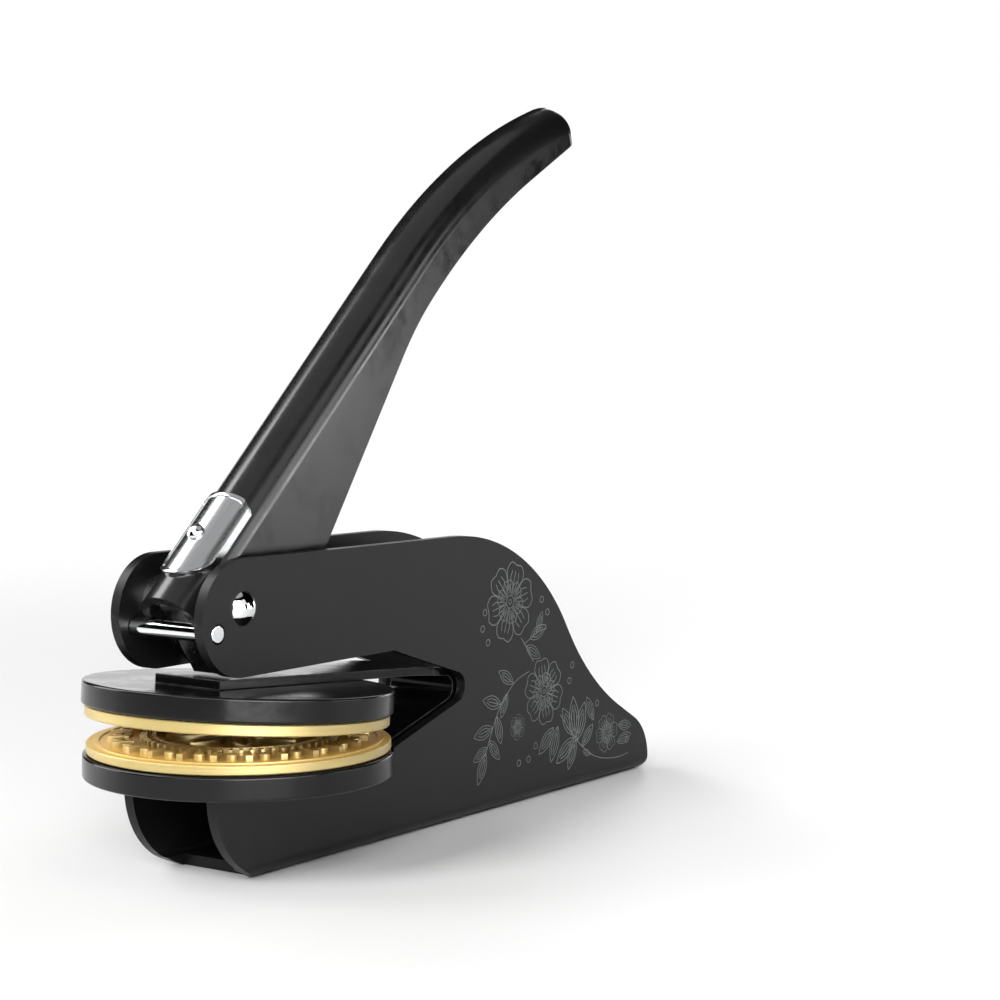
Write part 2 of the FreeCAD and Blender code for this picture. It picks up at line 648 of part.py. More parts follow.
def lower_leaf():
    """Hairpin strip below the lower holder, up its ramp and round to the flex line."""
    ramp = math.radians(THROAT_RAMP_DEG)
    fall = math.radians(HAIRPIN_FALL_DEG)
    low = HOLDER_Z - HALF_LEAF
    ramp_start = SEAT_END_X + RAMP_CLEARANCE
    corner_x = (FLEX.z + FLEX.x * math.tan(fall) - low + ramp_start * math.tan(ramp)) / (
        math.tan(ramp) + math.tan(fall))
    corner_z = low + (corner_x - ramp_start) * math.tan(ramp)
    leaf = strip_sweep([
        (LEAF_FRONT_X, low, 0),
        (ramp_start, low, HAIRPIN_RADIUS),
        (corner_x, corner_z, HAIRPIN_RADIUS),
        (FLEX.x, FLEX.z, 0),
    ])
    socket = cross_cylinder(FLEX.x, FLEX.z, HALF_LEAF + KNUCKLE_CLEARANCE, -HALF_WIDTH, HALF_WIDTH)
    return drilled(leaf.cut(socket), HOLDER_Z - LEAF_THICKNESS, -1)


def upper_leaf():
    """Straight part of the hairpin strip, above the upper holder, rounded at the flex line."""
    leaf = strip_sweep([(LEAF_FRONT_X, FLEX.z, 0), (FLEX.x, FLEX.z, 0)])
    knuckle = cross_cylinder(FLEX.x, FLEX.z, HALF_LEAF, -LEAF_WIDTH / 2, LEAF_WIDTH / 2)
    leaf = leaf.fuse(knuckle).removeSplitter()
    return open_jaw(drilled(leaf, UPPER_LEAF_Z + LEAF_THICKNESS, 1))


def build_pieces():
    """Every piece of the embosser, by node name."""
    upper_top = UPPER_LEAF_Z + LEAF_THICKNESS
    lower_bottom = HOLDER_Z - LEAF_THICKNESS
    return {
        "frame": frame(),
        "pivot_rivet": pivot_rivet(),
        "pivot_sleeve": pivot_sleeve(),
        "lever_spacer_near": lever_spacer(-1),
        "lever_spacer_far": lever_spacer(1),
        "stop_pin": stop_pin(),
        "lever": lever(),
        "press_cam": press_cam(),
        "cam_pin": cam_pin(),
        "nameplate": nameplate(),
        "nameplate_rivet": nameplate_rivet(),
        "lower_leaf": lower_leaf(),
        "lower_holder": holder(HOLDER_Z, lower_bottom, -1),
        "lower_pad": pad(LOWER_PAD_Z),
        "lower_die": lower_die(),
        "lower_leaf_screws": leaf_screws(lower_bottom, -1),
        "upper_leaf": upper_leaf(),
        "upper_holder": open_jaw(holder(UPPER_HOLDER_Z, upper_top, 1)),
        "upper_pad": open_jaw(pad(UPPER_PAD_Z)),
        "upper_die": upper_die(),
        "upper_leaf_screws": open_jaw(leaf_screws(upper_top, 1)),
    }


def main():
    """Write one STEP file for each piece."""
    os.makedirs("parts", exist_ok=True)
    for name, shape in build_pieces().items():
        solids = len(shape.Solids)
        print(f"{name}: {solids} solid(s), valid {shape.isValid()}, {shape.Volume:.1f} mm3")
        shape.exportStep(f"parts/{name}.step")


main()
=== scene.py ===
"""Looks of a hand-held seal embosser: finishes, detailed pieces, light and camera, in metres."""

import logging
import math
from collections.abc import Callable, Iterable, Sequence
from dataclasses import dataclass, replace
from enum import Enum
from functools import cached_property

import bmesh
import bpy
from mathutils import Matrix, Vector


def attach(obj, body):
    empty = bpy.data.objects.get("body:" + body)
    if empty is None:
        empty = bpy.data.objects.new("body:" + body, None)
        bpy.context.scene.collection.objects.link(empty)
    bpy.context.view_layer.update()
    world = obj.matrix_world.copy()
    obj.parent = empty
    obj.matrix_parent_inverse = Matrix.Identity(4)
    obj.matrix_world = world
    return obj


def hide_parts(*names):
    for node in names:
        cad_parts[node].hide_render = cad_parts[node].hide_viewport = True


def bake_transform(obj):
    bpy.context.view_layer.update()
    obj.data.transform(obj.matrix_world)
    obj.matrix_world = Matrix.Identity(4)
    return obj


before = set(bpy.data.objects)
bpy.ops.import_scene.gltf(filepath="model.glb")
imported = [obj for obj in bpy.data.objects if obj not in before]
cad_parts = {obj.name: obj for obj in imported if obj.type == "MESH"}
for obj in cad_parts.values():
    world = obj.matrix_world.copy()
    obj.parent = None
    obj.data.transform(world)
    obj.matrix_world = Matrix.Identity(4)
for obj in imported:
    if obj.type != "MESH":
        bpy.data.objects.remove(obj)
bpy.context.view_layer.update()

log = logging.getLogger("embosser")
MM = 0.001
NEAR = 1e-4
UP = Vector((0.0, 0.0, 1.0))
ALONG = Vector((1.0, 0.0, 0.0))
ACROSS = Vector((0.0, 1.0, 0.0))
WHITE = (1.0, 1.0, 1.0, 1.0)
BLACK = (0.0, 0.0, 0.0, 1.0)

# Places in millimetres that several sub-assemblies share: the lever's pivot and the stop pin (x, z),
# and the line that the upper jaw turns about, with its angle at rest.
PIVOT = (-8.25, 36.2027)
STOP = (-13.3, 33.3527)
FLEX_AT = (32.4, 0.0, 23.05)
JAW_TILT = 4.2

Corner = tuple[float, float, float]
Color = tuple[float, float, float]


# ---------------------------------------------------------------- modelling bench, in millimetres


@dataclass(frozen=True)
class Plane:
    """A drawing plane with two directions."""

    origin: Vector
    right: Vector
    up: Vector

    def at(self, u: float, v: float) -> Vector:
        """Place of a drawing point in space."""
        return self.origin + self.right * u + self.up * v

    @property
    def normal(self) -> Vector:
        """Direction that counter-clockwise turns are seen from."""
        return self.right.cross(self.up)


class Element(Enum):
    """What a selection picks."""

    VERT = "VERT"
    EDGE = "EDGE"
    FACE = "FACE"


class Cut(Enum):
    """What a tool solid does to a piece."""

    AWAY = "DIFFERENCE"
    COMMON = "INTERSECT"


def clear_selection() -> None:
    """Leaves edit mode and selects nothing."""
    if bpy.context.object and bpy.context.object.mode != "OBJECT":
        bpy.ops.object.mode_set(mode="OBJECT")
    bpy.ops.object.select_all(action="DESELECT")


def middle(element: bmesh.types.BMEdge | bmesh.types.BMFace) -> Vector:
    """Middle of an edge or a face.

    Args:
        element: The edge or face.

    Returns:
        Its middle.
    """
    if isinstance(element, bmesh.types.BMEdge):
        return (element.verts[0].co + element.verts[1].co) / 2
    return element.calc_center_median()


def above(height: float) -> Callable[..., bool]:
    """Test of an edge or a face for lying above a height."""
    return lambda item: all(v.co.z > height for v in item.verts)


def swung(way: Vector, degrees: float) -> Vector:
    """Turns a way on the flat.

    Args:
        way: The way (u, v).
        degrees: Angle, counter-clockwise.

    Returns:
        The turned way.
    """
    turn = math.radians(degrees)
    return Vector((way.x * math.cos(turn) - way.y * math.sin(turn),
                   way.x * math.sin(turn) + way.y * math.cos(turn)))


class Workpiece:
    """One object on the bench, shaped in edit mode in millimetres and finished in metres."""

    def __init__(self, name: str) -> None:
        """Takes over the active object, which was just added."""
        self.obj = bpy.context.object
        self.obj.name = name

    def settle(self) -> "Workpiece":
        """Applies the object's place, turn and scale to its mesh."""
        bpy.ops.object.transform_apply(location=True, rotation=True, scale=True)
        return self

    @classmethod
    def block(cls, name: str, low: Sequence[float], high: Sequence[float]) -> "Workpiece":
        """Adds a box between two corners.

        Args:
            name: Name of the piece.
            low: Lowest corner.
            high: Highest corner.

        Returns:
            The piece, in object mode.
        """
        clear_selection()
        low, high = Vector(low), Vector(high)
        bpy.ops.mesh.primitive_cube_add(size=1.0, location=(low + high) / 2)
        bpy.context.object.scale = high - low
        return cls(name).settle()

    @classmethod
    def rod(cls, name: str, start: Vector, end: Vector, radius: float, sides: int = 48) -> "Workpiece":
        """Adds a round bar between two points.

        Args:
            name: Name of the piece.
            start: Middle of one end.
            end: Middle of the other end.
            radius: Radius of the bar.
            sides: Number of faces round it.

        Returns:
            The piece, in object mode.
        """
        clear_selection()
        way = end - start
        bpy.ops.mesh.primitive_cylinder_add(
            vertices=sides, radius=radius, depth=way.length, location=(start + end) / 2,
            rotation=way.to_track_quat("Z", "Y").to_euler())
        return cls(name).settle()

    @classmethod
    def speck(cls, name: str, at: Vector) -> "Workpiece":
        """Adds a small plane and merges it to one vertex, the start of a drawn line.

        Args:
            name: Name of the piece.
            at: Place of the vertex.

        Returns:
            The piece, in edit mode, with its vertex selected.
        """
        clear_selection()
        bpy.ops.mesh.primitive_plane_add(size=0.1, location=at)
        piece = cls(name).settle()
        bpy.ops.object.mode_set(mode="EDIT")
        bpy.ops.mesh.select_all(action="SELECT")
        bpy.ops.mesh.merge(type="CENTER")
        return piece

    def activate(self, mode: str = "OBJECT") -> "Workpiece":
        """Makes this the only selected object.

        Args:
            mode: Mode to enter.

        Returns:
            The piece itself.
        """
        if bpy.context.object is not self.obj or bpy.context.object.mode != mode:
            clear_selection()
            self.obj.select_set(True)
            bpy.context.view_layer.objects.active = self.obj
            bpy.ops.object.mode_set(mode=mode)
        return self

    def select(self, kind: Element, test: Callable[..., bool] | None = None) -> "Workpiece":
        """Selects elements of the mesh in edit mode.

        Args:
            kind: Kind of element.
            test: Says of one element whether it is selected. Everything, if left out.

        Returns:
            The piece itself.
        """
        self.activate("EDIT")
        bpy.ops.mesh.select_mode(type=kind.value)
        bpy.ops.mesh.select_all(action="DESELECT" if test else "SELECT")
        if test:
            mesh = bmesh.from_edit_mesh(self.obj.data)
            items = {Element.VERT: mesh.verts, Element.EDGE: mesh.edges, Element.FACE: mesh.faces}
            for item in items[kind]:
                if test(item):
                    item.select_set(True)
            mesh.select_flush_mode()
            bmesh.update_edit_mesh(self.obj.data)
        return self

    def extrude(self, way: Vector) -> "Workpiece":
        """Extrudes the selection by a way."""
        bpy.ops.mesh.extrude_region_move(TRANSFORM_OT_translate={"value": tuple(way)})
        return self

    def spin(self, centre: Vector, axis: Vector, degrees: float, steps: int) -> None:
        """Spins the selection right-handed about an axis through a centre."""
        bpy.ops.mesh.spin(steps=steps, angle=-math.radians(degrees), center=tuple(centre), axis=tuple(axis))

    def revolve(self, base: Vector, axis: Vector, steps: int) -> "Workpiece":
        """Makes a solid of a drawn profile by spinning it once round an axis.

        Args:
            base: A point of the axis.
            axis: Direction of the axis.
            steps: Number of faces round it.

        Returns:
            The closed solid.
        """
        self.select(Element.EDGE)
        self.spin(base, axis, 360.0, steps)
        return self.heal(1e-3)

    def stretch(self, factors: Sequence[float], centre: Vector) -> None:
        """Scales the selection about a centre."""
        bpy.ops.transform.resize(value=tuple(factors), center_override=tuple(centre))

    def ease(self, width: float, segments: int = 2) -> None:
        """Bevels the selected edges."""
        bpy.ops.mesh.bevel(offset=width, segments=segments, affect="EDGES")

    def merge(self, gap: float = NEAR) -> "Workpiece":
        """Merges doubles.

        Args:
            gap: Distance that they may lie apart.

        Returns:
            The piece itself.
        """
        self.select(Element.VERT)
        bpy.ops.mesh.remove_doubles(threshold=gap)
        return self

    def heal(self, gap: float = NEAR) -> "Workpiece":
        """Merges doubles and turns all faces outwards.

        Args:
            gap: Distance that doubles may lie apart.

        Returns:
            The piece itself.
        """
        self.merge(gap)
        bpy.ops.mesh.normals_make_consistent(inside=False)
        return self

    def modify(self, kind: str, **settings: object) -> "Workpiece":
        """Adds a modifier and applies it.

        Args:
            kind: Type of the modifier.
            settings: Its settings by name.

        Returns:
            The piece itself.
        """
        self.activate()
        modifier = self.obj.modifiers.new(kind.lower(), kind)
        for name, value in settings.items():
            setattr(modifier, name, value)
        bpy.ops.object.modifier_apply(modifier=modifier.name)
        return self

    def combine(self, tool: "Workpiece", way: Cut = Cut.AWAY) -> "Workpiece":
        """Cuts this solid with another, and deletes the other.

        Args:
            tool: The other solid.
            way: What the tool does.

        Returns:
            The piece itself.
        """
        tool.activate()
        self.modify("BOOLEAN", object=tool.obj, operation=way.value, solver="EXACT")
        bpy.data.objects.remove(tool.obj)
        return self

    def round_edges(self, width: float, segments: int = 2, angle_deg: float = 38.0) -> "Workpiece":
        """Rounds the sharp edges and marks the new faces as edge faces.

        Args:
            width: Width of the rounding.
            segments: Faces across it.
            angle_deg: Edges flatter than this stay.

        Returns:
            The piece itself.
        """
        self.activate()
        mesh = self.obj.data
        while len(mesh.materials) < 2:
            mesh.materials.append(None)
        self.modify("BEVEL", width=width, segments=segments, limit_method="ANGLE",
                    angle_limit=math.radians(angle_deg), material=1, miter_outer="MITER_ARC")
        mesh = self.obj.data
        marks = mesh.attributes.new("edge", "FLOAT", "FACE")
        marks.data.foreach_set("value", [float(p.material_index == 1) for p in mesh.polygons])
        mesh.polygons.foreach_set("material_index", [0] * len(mesh.polygons))
        mesh.materials.clear()
        return self

    def join(self, others: Iterable["Workpiece"]) -> "Workpiece":
        """Joins other pieces into this one's mesh.

        Args:
            others: The other pieces, already made.

        Returns:
            The piece itself.
        """
        self.activate()
        for other in others:
            other.obj.select_set(True)
        bpy.ops.object.join()
        return self

    def copy(self, name: str) -> "Workpiece":
        """Makes a copy with its own mesh.

        Args:
            name: Name of the copy.

        Returns:
            The copy.
        """
        self.activate()
        bpy.ops.object.duplicate(linked=False)
        return Workpiece(name)

    def set_down(self, place: Matrix) -> "Workpiece":
        """Moves the whole piece and applies the move to its mesh."""
        self.activate().obj.matrix_world = place
        return self.settle()

    def ring(self, count: int, first_deg: float = 0.0) -> "Workpiece":
        """Repeats the piece evenly round the upright axis.

        Args:
            count: Number of pieces.
            first_deg: Angle of the first one.

        Returns:
            The piece with all its copies.
        """
        turns = [Matrix.Rotation(math.radians(first_deg + 360.0 * i / count), 4, "Z") for i in range(count)]
        copies = [self.copy(f"{self.obj.name}_{i}").set_down(turns[i]) for i in range(1, count)]
        return self.set_down(turns[0]).join(copies)

    def finish(self, finish: "Finish", body: str | None, slot: str, replaces: Sequence[str] = (),
               place: Matrix = Matrix(), smooth_deg: float = 32.0) -> bpy.types.Object:
        """Puts the piece at its place in metres, dresses it and hands it to its body.

        Args:
            finish: Finish of the whole piece.
            body: Body that it rides on. None, for a piece that spans two bodies; it is then left on none.
            slot: Slot that the finish belongs to. Not used.
            replaces: Nodes that it stands for.
            place: Place in millimetres.
            smooth_deg: Edges flatter than this are shaded smooth.

        Returns:
            The finished object.
        """
        self.heal()
        self.set_down(Matrix.Scale(MM, 4) @ place)
        bpy.ops.object.shade_smooth_by_angle(angle=math.radians(smooth_deg))
        self.modify("WEIGHTED_NORMAL", keep_sharp=True)
        if not any(self.obj.data.materials):
            self.obj.data.materials.clear()
            self.obj.data.materials.append(finish.material())
        if body:
            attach(self.obj, body)
        if replaces:
            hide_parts(*replaces)
        log.info("%s: %d faces, on %s", self.obj.name, len(self.obj.data.polygons), body or "two bodies")
        clear_selection()
        return self.obj


class Pen:
    """Draws a line of straight runs and arcs in a plane, by extruding and spinning its end."""

    def __init__(self, name: str, plane: Plane, start: Sequence[float]) -> None:
        """Puts the pen down.

        Args:
            name: Name of the drawn piece.
            plane: Plane of the drawing.
            start: First point of the line, in the plane.
        """
        self.plane = plane
        self.here = Vector(start)
        self.piece = Workpiece.speck(name, plane.at(*self.here))

    def line(self, to: Sequence[float]) -> "Pen":
        """Draws a straight run to a point of the plane.

        Args:
            to: The point.

        Returns:
            The pen itself.
        """
        to = Vector(to)
        if (to - self.here).length > 1e-6:
            self.piece.extrude(self.plane.at(*to) - self.plane.at(*self.here))
            self.here = to
        return self

    def arc(self, centre: Sequence[float], degrees: float, chord: float = 0.6) -> "Pen":
        """Draws an arc.

        Args:
            centre: Centre of the arc.
            degrees: Angle, counter-clockwise.
            chord: Longest straight step.

        Returns:
            The pen itself.
        """
        centre = Vector(centre)
        arm = self.here - centre
        length = arm.length * abs(math.radians(degrees))
        steps = max(2, math.ceil(length / chord), math.ceil(abs(degrees) / 9))
        self.piece.spin(self.plane.at(*centre), self.plane.normal, degrees, steps)
        self.here = centre + swung(arm, degrees)
        return self

    def through(self, corners: Sequence[Corner], closed: bool = True, chord: float = 0.6) -> "Pen":
        """Draws straight runs through corners, each rounded by its own radius.

        Args:
            corners: Corners (u, v, radius). The pen starts at start_of them.
            closed: Whether the line comes back to its start.
            chord: Longest step of an arc.

        Returns:
            The pen itself.
        """
        for i, (u, v, radius) in enumerate(corners):
            if radius == 0 or (not closed and i in (0, len(corners) - 1)):
                self.line((u, v))
                continue
            start, centre, degrees = rounding(corners, i)
            self.line(start)
            self.arc(centre, degrees, chord)
        return self

    def close(self) -> Workpiece:
        """Joins the ends of the line and fills it with one face.

        Returns:
            The flat piece, with its face selected.
        """
        self.piece.merge().select(Element.EDGE)
        bpy.ops.mesh.edge_face_add()
        return self.piece


def rounding(corners: Sequence[Corner], index: int) -> tuple[Vector, Vector, float]:
    """Arc that rounds one corner.

    Args:
        corners: All corners (u, v, radius).
        index: Number of the corner.

    Returns:
        Start of the arc, its centre, and its angle in degrees, counter-clockwise.
    """
    u, v, radius = corners[index]
    here = Vector((u, v))
    came = (here - Vector(corners[index - 1][:2])).normalized()
    goes = (Vector(corners[(index + 1) % len(corners)][:2]) - here).normalized()
    turn = math.atan2(came.x * goes.y - came.y * goes.x, came.dot(goes))
    start = here - came * (radius * math.tan(abs(turn) / 2))
    side = math.copysign(1.0, turn)
    return start, start + Vector((-came.y, came.x)) * side * radius, math.degrees(turn)


def start_of(corners: Sequence[Corner]) -> Sequence[float]:
    """Where the line round closed corners starts."""
    return rounding(corners, 0)[0] if corners[0][2] else corners[0][:2]


def slab(name: str, plane: Plane, corners: Sequence[Corner], thickness: float,
         chord: float = 0.6) -> Workpiece:
    """Flat plate with a drawn outline, extruded along the plane's normal.

    Args:
        name: Name of the piece.
        plane: Plane of the first face.
        corners: Corners (u, v, radius) of its outline.
        thickness: Its thickness.
        chord: Longest step of an arc.

    Returns:
        The solid plate.
    """
    piece = Pen(name, plane, start_of(corners)).through(corners, chord=chord).close()
    return piece.extrude(plane.normal * thickness).heal()


def turned(name: str, base: Vector, axis: Vector, profile: Sequence[Corner], steps: int = 96,
           chord: float = 0.3) -> Workpiece:
    """Turns a piece on the lathe.

    Args:
        name: Name of the piece.
        base: Zero of the heights, on the axis.
        axis: Axis of the piece.
        profile: Corners (radius, height, rounding), from axis to axis, or closed if off the axis.
        steps: Number of faces round the piece.
        chord: Longest step of an arc of the profile.

    Returns:
        The closed solid.
    """
    plane = Plane(base, axis.orthogonal().normalized(), axis)
    on_axis = profile[0][0] == 0 and profile[-1][0] == 0
    start = profile[0][:2] if on_axis else start_of(profile)
    pen = Pen(name, plane, start).through(profile, closed=not on_axis, chord=chord)
    if not on_axis:
        pen.line(start)
    return pen.piece.merge().revolve(base, axis, steps)


def puck(name: str, base: Vector, axis: Vector, radius: float, length: float, edge: float,
         low: float = 0.0, steps: int = 48, chord: float = 0.3) -> Workpiece:
    """Turns a round disc, bar or stud.

    Args:
        name: Name of the piece.
        base: Zero of the heights, on the axis.
        axis: Axis of the piece.
        radius: Its radius.
        length: Height of its top.
        edge: Radius of its rims. One that starts below the base keeps its lower rim sharp.
        low: Height of its underside.
        steps: Number of faces round it.
        chord: Longest step of an arc of the rims.

    Returns:
        The closed solid.
    """
    return turned(name, base, axis, [
        (0.0, low, 0.0), (radius, low, 0.0 if low else edge), (radius, length, edge), (0.0, length, 0.0)],
        steps, chord)


# ---------------------------------------------------------------- node groups and finishes


class Nodes:
    """Adds nodes to one tree and links them."""

    def __init__(self, tree: bpy.types.NodeTree) -> None:
        """Takes a tree."""
        self.tree = tree

    def feed(self, target: bpy.types.NodeSocket, value: object) -> None:
        """Links a socket to an input, or sets the input to a plain value.

        Args:
            target: The input.
            value: The socket or value.
        """
        if isinstance(value, bpy.types.NodeSocket):
            self.tree.links.new(value, target)
        else:
            target.default_value = value

    def add(self, kind: str, inputs: dict[str | int, object] | None = None, **settings: object
            ) -> Sequence[bpy.types.NodeSocket]:
        """Adds a node.

        Args:
            kind: Type of the node.
            inputs: Values or sockets for its inputs.
            settings: Its settings by name.

        Returns:
            Its outputs.
        """
        count = len(self.tree.nodes)
        node = self.tree.nodes.new(kind)
        node.location = (180 * (count % 8), -220 * (count // 8))
        for name, value in settings.items():
            setattr(node, name, value)
        for key, value in (inputs or {}).items():
            self.feed(node.inputs[key], value)
        return node.outputs

    def math(self, operation: str, first: object, second: object = 0.0) -> bpy.types.NodeSocket:
        """Result of a Math node."""
        return self.add("ShaderNodeMath", {0: first, 1: second}, operation=operation)[0]

    def ramp(self, value: object, low: float, high: float, to_low: float = 0.0, to_high: float = 1.0
             ) -> bpy.types.NodeSocket:
        """Maps the range low to high on the range to_low to to_high, smoothly."""
        return self.add("ShaderNodeMapRange", {
            "Value": value, "From Min": low, "From Max": high, "To Min": to_low, "To Max": to_high},
            interpolation_type="SMOOTHSTEP")["Result"]

    def blend(self, amount: object, first: object, second: object) -> bpy.types.NodeSocket:
        """Mixes two colours, which a Mix node keeps in its sockets 6 and 7 and gives out as 2."""
        return self.add("ShaderNodeMix", {0: amount, 6: first, 7: second}, data_type="RGBA")[2]

    def scaled(self, place: object, factors: object) -> bpy.types.NodeSocket:
        """Scales a place along each axis."""
        return self.add("ShaderNodeVectorMath", {0: place, 1: factors}, operation="MULTIPLY")[0]

    def per_size(self, size_mm: object) -> bpy.types.NodeSocket:
        """Says how often a size in millimetres goes into a metre."""
        return self.math("DIVIDE", 1.0, self.math("MULTIPLY", size_mm, MM))

    def noise(self, place: object, scale: object, detail: float, roughness: float = 0.5,
              distortion: float = 0.0) -> bpy.types.NodeSocket:
        """Noise pattern over a place."""
        return self.add("ShaderNodeTexNoise", {
            "Vector": place, "Scale": scale, "Detail": detail, "Roughness": roughness,
            "Distortion": distortion})["Fac"]


def rgba(color: Sequence[float], factor: float = 1.0) -> tuple[float, float, float, float]:
    """Colour with full alpha, made darker or lighter by a factor."""
    return (*(c * factor for c in color), 1.0)


class Pattern(Enum):
    """Effects that several finishes share, by the names of their node groups."""

    GRAIN = "grain"
    EDGE_WEAR_AND_HIGHLIGHT = "worn_edge"
    BRUSHING = "brushing"
    SMEARS = "smears"


class Effect(Nodes):
    """Node group of a shared effect. The method of the group's name makes its nodes."""

    INPUTS: dict[Pattern, dict[str, float]] = {
        Pattern.GRAIN: {"Size": 0.12, "Patch": 9.0}, Pattern.EDGE_WEAR_AND_HIGHLIGHT: {"Break": 0.5},
        Pattern.BRUSHING: {"Pitch": 0.12, "Length": 9.0}, Pattern.SMEARS: {"Size": 5.0}}

    def __init__(self, pattern: Pattern) -> None:
        """Builds a group.

        Args:
            pattern: The effect.
        """
        super().__init__(bpy.data.node_groups.new(pattern.value, "ShaderNodeTree"))
        new_socket = self.tree.interface.new_socket
        new_socket("Place", in_out="INPUT", socket_type="NodeSocketVector")
        for key, value in self.INPUTS[pattern].items():
            new_socket(key, in_out="INPUT", socket_type="NodeSocketFloat").default_value = value
        self.given = self.add("NodeGroupInput")
        results = getattr(self, pattern.value)()
        for key in results:
            new_socket(key, in_out="OUTPUT", socket_type="NodeSocketFloat")
        self.add("NodeGroupOutput", results)

    def grain(self) -> dict[str, bpy.types.NodeSocket]:
        """Fine grain of a sprayed or blasted surface, with slow patches.

        Returns:
            Its outputs by name.
        """
        place = self.given["Place"]
        slow = self.noise(place, self.per_size(self.given["Patch"]), 3.0, 0.6)
        return {"Height": self.noise(place, self.per_size(self.given["Size"]), 2.0, 0.55),
                "Patches": self.ramp(slow, 0.3, 0.7)}

    def worn_edge(self) -> dict[str, bpy.types.NodeSocket]:
        """Mask of the edge faces, broken up by grain: rubbed paint and a painted highlight along the edges.
        The edge faces carry the attribute edge.

        Returns:
            Its output by name.
        """
        edge = self.add("ShaderNodeAttribute", attribute_name="edge")["Fac"]
        break_noise = self.ramp(self.noise(self.given["Place"], 420.0, 4.0, 0.6), 0.35, 0.65)
        lost = self.math("MULTIPLY", self.given["Break"], self.math("SUBTRACT", 1.0, break_noise))
        return {"Mask": self.math("MULTIPLY", edge, self.math("SUBTRACT", 1.0, lost))}

    def brushing(self) -> dict[str, bpy.types.NodeSocket]:
        """Parallel brush strokes: long along X of the place, fine along Y and Z.

        Returns:
            Its outputs by name.
        """
        fine, long = self.per_size(self.given["Pitch"]), self.per_size(self.given["Length"])
        factors = self.add("ShaderNodeCombineXYZ", {"X": long, "Y": fine, "Z": fine})[0]
        place = self.scaled(self.given["Place"], factors)
        bands = self.noise(self.scaled(place, (0.35, 0.16, 0.16)), 1.0, 2.0)
        return {"Strokes": self.noise(place, 1.0, 3.0, 0.65), "Bands": self.ramp(bands, 0.3, 0.7)}

    def smears(self) -> dict[str, bpy.types.NodeSocket]:
        """Slow cloudy smears and a few hairline scratches, as handling leaves them.

        Returns:
            Its outputs by name.
        """
        place = self.given["Place"]
        cloud = self.noise(place, self.per_size(self.given["Size"]), 5.0, 0.62, 0.8)
        hair = self.noise(self.scaled(place, (160.0, 5200.0, 2600.0)), 1.0, 1.0)
        return {"Clouds": self.ramp(cloud, 0.35, 0.75), "Hairlines": self.ramp(hair, 0.62, 0.74)}


class Coat(Nodes):
    """New material with its Principled shader."""

    def __init__(self, name: str) -> None:
        """Starts a material.

        Args:
            name: Its name.
        """
        self.material = bpy.data.materials.new(name)
        self.material.use_nodes = True
        super().__init__(self.material.node_tree)
        self.shader = self.tree.nodes["Principled BSDF"]

    @cached_property
    def place(self) -> bpy.types.NodeSocket:
        """Object coordinates."""
        return self.add("ShaderNodeTexCoord")["Object"]

    def put(self, **values: object) -> None:
        """Sets or links sockets of the shader. An underscore stands for a space."""
        for key, value in values.items():
            self.feed(self.shader.inputs[key.replace("_", " ")], value)

    def effect(self, pattern: Pattern, place: bpy.types.NodeSocket, **inputs: float
               ) -> Sequence[bpy.types.NodeSocket]:
        """Places a shared effect and gives its outputs. The group is built the first time."""
        tree = bpy.data.node_groups.get(pattern.value) or Effect(pattern).tree
        return self.add("ShaderNodeGroup", {"Place": place} | inputs, node_tree=tree)

    def bump(self, height: bpy.types.NodeSocket, depth_mm: float) -> None:
        """Feeds a height, which stands for a depth at 1, to the shader's normal."""
        self.put(Normal=self.add("ShaderNodeBump", {"Height": height, "Strength": 1.0,
                                                    "Distance": depth_mm * MM})[0])


@dataclass(frozen=True)
class Finish:
    """A finish: name, colour and gloss. Each kind of finish builds its own nodes."""

    name: str
    color: Color
    roughness: float

    def material(self) -> bpy.types.Material:
        """Gives the material of the finish, and builds it the first time.

        Returns:
            The material.
        """
        made = bpy.data.materials.get(self.name)
        if made is None:
            coat = Coat(self.name)
            coat.put(Base_Color=rgba(self.color), Roughness=self.roughness)
            self.dress(coat)
            made = coat.material
        return made

    def dress(self, coat: Coat) -> None:
        """Adds the finish's own nodes to a material."""
        raise NotImplementedError


@dataclass(frozen=True)
class Paint(Finish):
    """Sprayed or powder-coated paint with a fine grain, and edges painted lighter: slightly rubbed, and
    with a painted highlight.
    """

    grain_mm: float = 0.14
    grain_depth_mm: float = 0.004
    patch_mm: float = 11.0
    patch: float = 0.10
    edge_wear_and_highlight_color: Color = (0.16, 0.16, 0.162)
    edge_break: float = 0.6
    edge_wear_and_highlight_share: float = 0.35
    smear_mm: float = 7.0
    dull: float = 0.03
    shine: float = 0.05
    speckle: float = 0.03
    gloss: float = 0.5

    def dress(self, coat: Coat) -> None:
        """Adds grain, patches, and lighter edges that are partly rubbed paint and partly a painted
        highlight.

        Args:
            coat: The material.
        """
        grain = coat.effect(Pattern.GRAIN, coat.place, Size=self.grain_mm, Patch=self.patch_mm)
        wear_and_highlight = coat.effect(Pattern.EDGE_WEAR_AND_HIGHLIGHT, coat.place, Break=self.edge_break)
        smears = coat.effect(Pattern.SMEARS, coat.place, Size=self.smear_mm)
        base = coat.blend(grain["Patches"], rgba(self.color, 1.0 - self.patch),
                          rgba(self.color, 1.0 + self.patch))
        # Edge faces are painted lighter: partly rubbed paint, partly a painted highlight along the edges.
        color = coat.blend(coat.math("MULTIPLY", wear_and_highlight["Mask"], self.edge_wear_and_highlight_share), base, rgba(self.edge_wear_and_highlight_color))
        rough = coat.ramp(smears["Clouds"], 0.0, 1.0, self.roughness + self.dull,
                          self.roughness - self.shine)
        speckle = coat.ramp(grain["Height"], 0.3, 0.7, -self.speckle, self.speckle)
        coat.put(Base_Color=color, Roughness=coat.math("ADD", rough, speckle),
                 Specular_IOR_Level=self.gloss)
        coat.bump(grain["Height"], self.grain_depth_mm)


